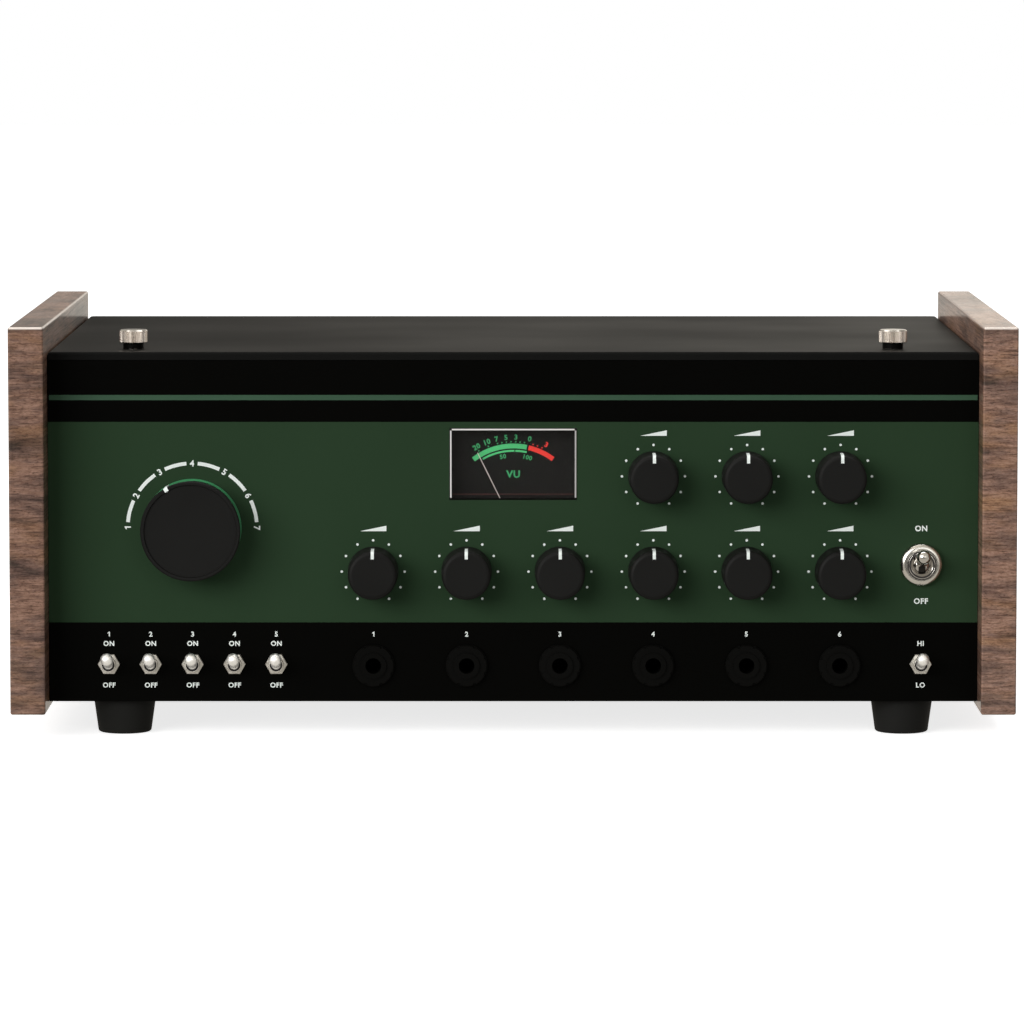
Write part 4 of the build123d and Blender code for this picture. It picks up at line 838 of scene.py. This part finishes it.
def grow(name, tree, values, points, body, directions=None):
    """Run a tree on a cloud of points (in metres) and keep the result as a plain mesh piece."""
    cloud = bpy.data.meshes.new(name)
    cloud.from_pydata([tuple(p) for p in points], [], [])
    if directions is not None:
        facing = cloud.attributes.new("facing", "FLOAT_VECTOR", "POINT")
        facing.data.foreach_set("vector", [c for d in directions for c in d])
    piece = new_object(name, cloud)
    modifier = piece.modifiers.new("grow", "NODES")
    modifier.node_group = tree
    for item in tree.interface.items_tree:
        if item.in_out == "INPUT" and item.name in values:
            modifier[item.identifier] = values[item.name]
    mesh = evaluated_mesh(piece)
    piece.modifiers.clear()
    piece.data = mesh
    smooth(mesh)
    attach(piece, body)
    print(f"{name}: {len(mesh.polygons)} faces")
    return piece


print("a tree grows on a cloud of points")


# %% Dot scales
def dot_scale_tree():
    sizes = {"Dots": "Int", "Ring Radius": "Float", "Dot Radius": "Float", "First Angle": "Float",
             "Step": "Float", "Thickness": "Float", "Material": "Material"}
    tree, given = new_tree("dot_scale", sizes)
    index = add(tree, "GeometryNodeInputIndex")
    angle = add(tree, "ShaderNodeMath", {0: index, 1: given["Step"], 2: given["First Angle"]},
                operation="MULTIPLY_ADD")
    across = add(tree, "ShaderNodeMath", {0: angle}, operation="SINE")
    upward = add(tree, "ShaderNodeMath", {0: angle}, operation="COSINE")
    place = add(tree, "ShaderNodeCombineXYZ", {"X": across, "Z": upward})
    place = add(tree, "ShaderNodeVectorMath", {0: place, "Scale": given["Ring Radius"]}, operation="SCALE")
    dots = add(tree, "GeometryNodePoints", {"Count": given["Dots"]})
    ring = add(tree, "GeometryNodeSetPosition", {"Geometry": dots, "Position": place})
    dot = add(tree, "GeometryNodeMeshCylinder", {"Vertices": 24, "Radius": given["Dot Radius"],
                                                 "Depth": given["Thickness"]})
    dot_ring = add(tree, "GeometryNodeInstanceOnPoints", {"Points": ring, "Instance": dot,
                                                          "Rotation": (pi / 2, 0, 0)})
    rings = add(tree, "GeometryNodeInstanceOnPoints", {"Points": given["Geometry"], "Instance": dot_ring})
    end_tree(tree, rings, given["Material"])
    return tree


dot_inputs = {"Dots": 11, "Ring Radius": 13.05 * MM, "Dot Radius": 0.52 * MM, "First Angle": radians(-150),
              "Step": radians(30), "Thickness": (ink + sunk) * MM, "Material": finish["needle_white"]}
dot_y = (panel_face - (ink - sunk) / 2) * MM
dot_points = [(x * MM, dot_y, z * MM) for x, z in knob_places.values()]
grow("panel_print_dots", dot_scale_tree(), dot_inputs, dot_points, "case")

# %% [markdown]
# ## Knob pointers
# The white pointer of a small knob is an inlay: it starts on the face, goes over the rounded edge
# and down the side. Its outline is the knob's own profile, so the strip is made by walking along
# that profile and giving it the pointer's width.

# %% Pointers of the small knobs
pointer_width = 1.3
pointer_proud, pointer_depth = 0.03, 0.3
knob_front, knob_back = 17.5, 0.8
knob_radius, knob_back_radius = 10.1, 10.5
knob_edge = 1.8
corner_clear = 0.04              # that the inlay swells where it goes over the edge
pointer_inner = 6.8              # where the pointer starts, from the axis
pointer_low = 8.0                # where it ends on the side, above the panel


def inlay(name, path, width, place, knob):
    """A white bar along a path of (radius, height, outward normal) points, set in a knob."""
    bm = bmesh.new()
    corners = ((-1, -pointer_depth), (1, -pointer_depth), (1, pointer_proud), (-1, pointer_proud))
    block(bm, [[(side * width / 2, radius + nx * depth, height + nz * depth) for side, depth in corners]
               for radius, height, (nx, nz) in path], place)
    bmesh.ops.recalc_face_normals(bm, faces=bm.faces)
    make_piece(name, bm, knob, "needle_white", sharp_angle=50)


def pointer_path():
    """Over the face, round the front edge and down the side."""
    path = [(pointer_inner, knob_front, (0, 1)), (knob_radius - knob_edge, knob_front, (0, 1))]
    for turn in range(72, -1, -18):
        normal = (cos(radians(turn)), sin(radians(turn)))
        path.append((knob_radius + corner_clear - knob_edge + knob_edge * normal[0],
                     knob_front - knob_edge + knob_edge * normal[1], normal))
    slope = (knob_back_radius - knob_radius) / (knob_front - knob_back)
    low_radius = knob_radius + slope * (knob_front - pointer_low)
    return path + [(low_radius, pointer_low, (1, 0))]


for name, (x, z) in knob_places.items():
    inlay(name + "_pointer", pointer_path(), pointer_width, on_panel(x, z), name)
print(f"{len(knob_places)} pointers")

# %% Marker of the mode knob
mode_low, mode_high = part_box("mode_knob")
front = (panel_face * MM - mode_low.y) / MM
radius = (mode_high.x - mode_low.x) / 2 / MM
marker_angle, marker_width = -30.0, 1.7
marker_length, edge_size, marker_low = 1.3, 0.35, 3.0
marker_path = [(radius - edge_size - marker_length, front, (0, 1)), (radius - edge_size, front, (0, 1)),
               (radius + 0.02, front - edge_size, (1, 0.2)), (radius - 0.2, marker_low, (1, 0))]
inlay("mode_knob_mark", marker_path, marker_width, on_panel(mode_x, mode_z) @ clockwise(marker_angle),
      "mode_knob")
print(f"mode knob radius {radius:.1f}, front {front:.1f} mm")

# %% [markdown]
# ## The level meter's dial
# The dial is printed card: a thick green arc for the safe levels and a red one for too much, with
# numbers outside, a thin second scale inside, and a pale needle that hangs over both. All of it
# is drawn on arcs about one point below the window, by the same band and lettering helpers.

# %% Dial print
card_thickness = 0.8
dial_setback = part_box("vu_scale")[1].y / MM - card_thickness - panel_face
arc_x, arc_z, arc_radius, arc_width = 0.13, 92.95, 27.4, 2.0
arc_start, arc_turn, red_start, arc_end = -37.4, 11.6, 13.2, 36.9    # degrees, as all angles here
numbers = [("20", -29.6), ("10", -21.0), ("7", -13.2), ("5", -5.8), ("3", 1.9), ("0", 12.5)]
number_radius, number_height = 31.1, 2.1
tick_radius, tick_length, tick_turn = 29.15, 0.55, 1.0
green_ticks, red_ticks = [-29.6, -21.0, -13.2, -9.5, -5.8, -2.0, 1.9, 5.4, 9.0], [16.2, 20.0, 24.0]
inner_radius, inner_width = 25.4, 0.8    # the thin second scale
inner_arcs = [(-30.2, 0.8), (1.8, 12.4)]
inner_numbers = [("50", -10.9), ("100", 14.2)]
inner_number_radius, inner_number_height = 23.4, 1.8
unit_x, unit_z, unit_height = 0.1, 108.6, 3.0
foot_length, foot_width, foot_lift = 50.6, 0.44, 1.75    # the lift is above the window's foot


def on_dial(x, z):
    return on_panel(x, z, -dial_setback)


def dial_text(bm, text, radius, angle, height):
    x, z = clock(radius, angle)
    lettering(bm, text, height, on_dial(arc_x + x, arc_z + z), angle, bold=0.035)


def dial_band(bm, radius, width, start, end):
    band(bm, radius, width, start, end, on_dial(arc_x, arc_z))


def dial_ticks(bm, angles):
    for angle in angles:
        dial_band(bm, tick_radius, tick_length, angle - tick_turn / 2, angle + tick_turn / 2)


def print_dial(name, bm, ink_name, colour, drift, specular=0.3, slot=None):
    """One colour of the dial's print as a piece."""
    make_piece(name, bm, "case", slot, plain_finish(ink_name, colour, drift, 0.5, 0.3, 0.001, specular))


safe, figures, over, foot = bmesh.new(), bmesh.new(), bmesh.new(), bmesh.new()
dial_band(safe, arc_radius, arc_width, arc_start, arc_turn)
for start, end in inner_arcs:
    dial_band(safe, inner_radius, inner_width, start, end)
for text, angle in numbers:
    dial_text(figures, text, number_radius, angle, number_height)
for text, angle in inner_numbers:
    dial_text(figures, text, inner_number_radius, angle, inner_number_height)
dial_ticks(figures, green_ticks)
lettering(figures, "VU", unit_height, on_dial(unit_x, unit_z), bold=0.03)
dial_band(over, arc_radius, arc_width, red_start, arc_end)
dial_text(over, "3", number_radius, 26.1, number_height)
dial_ticks(over, red_ticks)
# The faint red-brown line just above the window's foot is a painted reflection of the bevel, laid on the
# card.
mark(foot, bar(foot_length, foot_width), on_dial(arc_x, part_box("vu_window")[0].z / MM + foot_lift))

print_dial("vu_print_figures", figures, "dark_green_dial_ink", "#38a366", "#349b60", slot="green_plastic")
print_dial("vu_print_green", safe, "green_dial_ink", "#4fc27a", "#4aba74", slot="green_plastic")
print_dial("vu_print_red", over, "red_dial_ink", "#f0382f", "#e8332b")
print_dial("vu_print_foot_line", foot, "foot_reflection_paint", "#4a2a28", "#452725", 0.1)
print(f"dial printed with {len(green_ticks) + len(red_ticks)} ticks")

# %% [markdown]
# ## The meter's polished bevel
# The acrylic front has a polished bevel on all four sides. On the top and the two sides the
# studio's light shows as pale lines, which stop short of the corners where the bevels meet: each
# is a painted reflection, a thin pale strip on its bevel. A dark strip on all four bevels, under the
# pale ones, is a painted reflection of the dark inside of the meter. Clear plastic alone would need
# thousands of light paths to show that.

# %% Bevel lines
window_low, window_high = (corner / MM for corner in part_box("vu_window"))
window_front = panel_face - window_low.y     # how far the window stands proud
bevel = 0.8                      # width and depth of the bevel
bevel_gap = 0.95                 # bare length left at each corner
line_share = 0.7                 # of the bevel's width that shines
line_thickness, shade_thickness = 0.04, 0.02


def bevel_strip(bm, start, end, inward, gap, thickness, share=1.0):
    """A thin plate on the bevel between two points of the window's outer edge."""
    along = (end - start).normalized()
    outer = [start + along * gap, end - along * gap]
    mitre = along * (0 if gap else bevel)
    inner = [outer[1] + inward * bevel - mitre, outer[0] + inward * bevel + mitre]
    skip = inward * bevel * (1 - share)      # a narrow plate keeps to the bevel's inner part
    low = window_front - bevel * share
    corners = [Vector((*(p + skip), low)) for p in outer] + [Vector((*p, window_front)) for p in inner]
    normal = (corners[1] - corners[0]).cross(corners[2] - corners[1]).normalized() * thickness
    block(bm, [[corner + shift for corner in corners] for shift in (-normal, normal)], on_panel(0, 0))


left, right, low, high = window_low.x, window_high.x, window_low.z, window_high.z
corners = [Vector(corner) for corner in ((right, high), (left, high), (left, low), (right, low))]
shine, shade = bmesh.new(), bmesh.new()
for i, inward in enumerate(((0, -1), (1, 0), (0, 1), (-1, 0))):
    side = corners[i], corners[(i + 1) % 4], Vector(inward)
    bevel_strip(shade, *side, 0.0, shade_thickness)
    if i != 2:
        bevel_strip(shine, *side, bevel_gap, line_thickness, line_share)
# The pale line also glows a little, a painted highlight, so it is a little lighter than its side of
# the room.
glint = plain_finish("bevel_painted_reflection", "#c4c4c2", "#bcbcba", 0.3, 0.3, 0.001,
                     **{"Emission Color": linear("#fff6f0"), "Emission Strength": 0.25})
make_piece("vu_bevel_lines", shine, "case", "needle_white", glint)
# The dark strips are a painted reflection of the meter's dark inside.
make_piece("vu_bevel_shade", shade, "case", "knob_plastic", finish["meter_dial"])
print(f"window stands {window_front:.1f} mm proud, bevel {bevel} mm")

# %% [markdown]
# ## Switch bushings
# A toggle's housing is moulded, but the threaded bushing that comes through the panel is plated
# metal. The frame holds the switch as one solid, so the bushing's visible end is a turned sleeve
# over it: a thread outside, a rounded mouth, and a bore that the lever's ball fills.

# %% Bushing sleeves
thread_pitch, thread_depth = 0.75, 0.12
mouth_proud = 0.03               # of the sleeve's mouth before the housing's


def bushing(bm, place, mouth, radius, bore, low, nut_front, rim=0.12, flare=0.08, drop=0.08):
    """A threaded sleeve from inside the nut to a rounded rim, with a mouth that flares by its drop."""
    front, crest = mouth + mouth_proud, radius + 0.04
    profile = [(bore, low), (radius - 0.1, low), (radius - 0.1, nut_front - 0.05)]
    for i in range(int((mouth - rim - nut_front) / thread_pitch)):
        start = nut_front + thread_pitch * i
        profile += [(radius - thread_depth, start), (crest, start + thread_pitch * 0.35),
                    (crest, start + thread_pitch * 0.6)]
    bends = [radians(a) for a in range(15, 91, 15)]
    profile += [(radius - rim + rim * cos(a), front - rim + rim * sin(a)) for a in bends]
    profile += [(bore + flare, front), (bore, mouth - drop)]
    lathe(bm, profile, place, steps=64, closed=True)


def mouth_of(node):
    return panel_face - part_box(node)[0].y / MM


small, large = bmesh.new(), bmesh.new()
for x in toggle_x + [level_x]:
    bushing(small, on_panel(x, toggle_z), mouth_of("toggle_bodies"), radius=3.0, bore=2.55, low=1.2,
            nut_front=2.1)
make_piece("toggle_bushings", small, "case", "nickel", sharp_angle=50)
power_mouth = mouth_of("power_switch")
# The bore is just clear of the lever's ball, which sits deep in the mouth.
bushing(large, on_panel(power_x, power_z), power_mouth, radius=6.0, bore=3.62, low=power_mouth - 1.2,
        nut_front=3.6, rim=0.65, flare=1.7, drop=0.9)
make_piece("power_bushing", large, "case", "chrome", sharp_angle=25)
print(f"mouths {mouth_of('toggle_bodies'):.1f} and {power_mouth:.1f} mm in front of the panel")

# %% [markdown]
# ## Collars of the thumb screws
# Under each knurled head sits a black nylon collar, which keeps the plated metal off the painted
# cover. The top of the head and its chamfer are a separate turned piece, painted darker and made
# smoother than the knurl: a painted shade for the dark that the top reflects. Both turn with their
# screw, so they ride on its body.

# %% Nylon collars and darkened tops
# The top's steel is painted darker than the knurl's plating, a painted shade.
finish["darkened_top"] = metal_finish("steel_painted_darker", "#a39f99", "#9a9690", 0.2, 0.3, 0.001)
head_height = 5.5
collar_radius, collar_bore, collar_edge = 4.3, 4.0, 0.3
gap_below, gap_above = 0.05, 0.02        # from the cover and from the screw's head
crest_radius, chamfer = 5.88, 0.5        # of the head's top edge
top_core, top_depth = 5.5, 0.3           # radius and depth of the darker top inside the head
cover_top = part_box("top_cover")[1].z / MM
for side in ("left", "right"):
    screw = f"thumb_screw_{side}"
    low_corner, high_corner = (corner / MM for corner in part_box(screw))
    top, head_low = high_corner.z, high_corner.z - head_height
    collar = [(collar_bore, cover_top + gap_below), (collar_radius, cover_top + gap_below),
              (collar_radius, head_low - collar_edge), (collar_radius - collar_edge, head_low - gap_above),
              (collar_bore, head_low - gap_above)]
    facing = [(0, top - top_depth), (top_core, top - top_depth), (top_core, top - chamfer - sunk),
              (crest_radius, top - chamfer), (crest_radius - chamfer - sunk, top + ink), (0, top + ink)]
    axis = Matrix.Translation(((low_corner.x + high_corner.x) / 2, (low_corner.y + high_corner.y) / 2, 0))
    for piece, profile, steps, material in (("collar", collar, 64, "jack_plastic"),
                                            ("top", facing, 96, "darkened_top")):
        bm = bmesh.new()
        lathe(bm, profile, axis, steps, closed=piece == "collar")
        bmesh.ops.recalc_face_normals(bm, faces=bm.faces)
        make_piece(f"thumb_{piece}_{side}", bm, screw, "knob_plastic", finish[material])
print(f"collars from {cover_top:.1f} to {head_low:.1f} mm")

# %% [markdown]
# ## Cross-recess screws with Geometry Nodes
# The frame's screws have plain heads. A real pan head is rounded and has a cross recess, which is
# forged, so it is wide at the top and narrow at its floor. One screw is modelled, and a tree sets a
# copy of it on every place, turned by chance about its own axis, because nobody lines screws up.
# The places and directions are measured on the frame's screws, one loose shell at a time.

# %% One screw
shoulder_share, rim_share = 0.36, 0.4    # the head's rounded shoulder and flat rim, in radii and heights
arm_share, blade_share = 0.52, 0.13      # the recess's reach and half its width, in radii of the head
bottom_share, bottom_height = 0.45, 0.3  # the recess's floor: its size, and its height in the head


def screw_object(head_radius, head_height, shank_radius, shank_length, point_length=1.2):
    """A pan-head screw on the origin, its head towards +Z; sizes in mm."""
    bm = bmesh.new()
    shoulder = head_radius * shoulder_share
    profile = [(0, -shank_length), (shank_radius * 0.6, -shank_length),
               (shank_radius, -shank_length + point_length), (shank_radius, 0), (head_radius, 0),
               (head_radius, head_height * rim_share)]
    for turn in range(15, 91, 15):
        profile.append((head_radius - shoulder + shoulder * cos(radians(turn)),
                        head_height * (rim_share + (1 - rim_share) * sin(radians(turn)))))
    lathe(bm, profile, Matrix.Identity(4), steps=40)
    arm, half = head_radius * arm_share, head_radius * blade_share
    cross = [(half, arm), (half, half), (arm, half), (arm, -half), (half, -half), (half, -arm)]
    cross = (cross + [(-x, -y) for x, y in cross])[::-1]
    mouth, bottom = [[bm.verts.new((x * size, y * size, z)) for x, y in cross]
                     for size, z in ((1.0, head_height), (bottom_share, head_height * bottom_height))]
    bm.faces.new(bottom)
    join_rings(bm, mouth, bottom)
    bm.edges.ensure_lookup_table()
    rim = [e for e in bm.edges if e.is_boundary and all(abs(v.co.z - head_height) < 1e-6 for v in e.verts)]
    bmesh.ops.triangle_fill(bm, edges=rim, use_beauty=True)
    bmesh.ops.recalc_face_normals(bm, faces=bm.faces)
    return new_object("screw", to_mesh("screw", bm))


def shells(node):
    """The separate shells of a node, each as a list of its points."""
    bm = bmesh.new()
    bm.from_mesh(nodes[node].data)
    bmesh.ops.remove_doubles(bm, verts=bm.verts, dist=1e-6)
    left_over, found = set(bm.verts), []
    for first in bm.verts:       # in the mesh's own order, so that every run finds the same order
        if first not in left_over:
            continue
        left_over.remove(first)
        shell, waiting = [], [first]
        while waiting:
            vertex = waiting.pop()
            shell.append(vertex.co.copy())
            near = {e.other_vert(vertex) for e in vertex.link_edges} & left_over
            left_over -= near
            waiting += near
        found.append(shell)
    bm.free()
    return found


def screw_pose(shell, head_height):
    """Where a screw's head meets what it holds, and the way the head faces."""
    low, high = (Vector([pick(p[i] for p in shell) for i in range(3)]) for pick in (min, max))
    axis = max(range(3), key=lambda i: high[i] - low[i])
    across = [i for i in range(3) if i != axis]
    wide = max(high[i] - low[i] for i in across) / 2
    middle = (low + high) / 2
    rim = [p for p in shell if max(abs(p[i] - middle[i]) for i in across) > 0.9 * wide]
    sign = 1 if rim[0][axis] > middle[axis] else -1
    place, facing = middle.copy(), Vector((0, 0, 0))
    facing[axis] = sign
    place[axis] = (high if sign > 0 else low)[axis] - sign * head_height * MM
    return place, facing


screw_head = 2.2                 # height of a head
screw_poses = [screw_pose(shell, screw_head) for shell in shells("case_screws")]
print(f"{len(screw_poses)} screws, {sum(abs(f.y) > 0.5 for _, f in screw_poses)} of them on the back")


# %% Set the screws
def screw_tree():
    sizes = {"Screw": "Object", "Scale": "Float", "Seed": "Int", "Material": "Material"}
    tree, given = new_tree("set_screws", sizes)
    shape = add(tree, "GeometryNodeObjectInfo", {"Object": given["Screw"]}).outputs["Geometry"]
    facing = add(tree, "GeometryNodeInputNamedAttribute", {"Name": "facing"}, data_type="FLOAT_VECTOR")
    upright = add(tree, "FunctionNodeAlignRotationToVector", {"Vector": facing.outputs["Attribute"]},
                  axis="Z")
    turn = add(tree, "FunctionNodeRandomValue", {"Max": pi, "Seed": given["Seed"]}, data_type="FLOAT")
    turn = next(socket for socket in turn.outputs if socket.enabled)
    spin = add(tree, "FunctionNodeAxisAngleToRotation", {"Axis": (0, 0, 1), "Angle": turn})
    turned = add(tree, "FunctionNodeRotateRotation", {"Rotation": upright, "Rotate By": spin},
                 rotation_space="LOCAL")
    placed = add(tree, "GeometryNodeInstanceOnPoints", {"Points": given["Geometry"], "Instance": shape,
                                                        "Rotation": turned, "Scale": given["Scale"]})
    end_tree(tree, placed, given["Material"])
    return tree


one_screw = screw_object(3.5, screw_head, 2.0, 9.0)
set_screws = screw_tree()
screw_inputs = {"Screw": one_screw, "Scale": 1.0, "Seed": 4, "Material": finish["screw_steel"]}
points, ways = zip(*screw_poses)
case_screws = grow("cross_recess_screws", set_screws, screw_inputs, points, "case", ways)
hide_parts("case_screws")

inlet_spacing = 40.0             # between the inlet's two holes
seat_depth = 1.3                 # from the inlet's face to its screws' seat
inlet_low, inlet_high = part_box("iec_inlet")
middle = (inlet_low + inlet_high) / 2
inlet_points = [Vector((middle.x + side * inlet_spacing * MM / 2, inlet_high.y - seat_depth * MM, middle.z))
                for side in (-1, 1)]
screw_inputs.update({"Scale": 0.5, "Seed": 9})
grow("inlet_screws", set_screws, screw_inputs, inlet_points, "case", [(0, 1, 0)] * 2)
bpy.data.objects.remove(one_screw)
print(f"{len(points)} case screws and {len(inlet_points)} in the inlet")
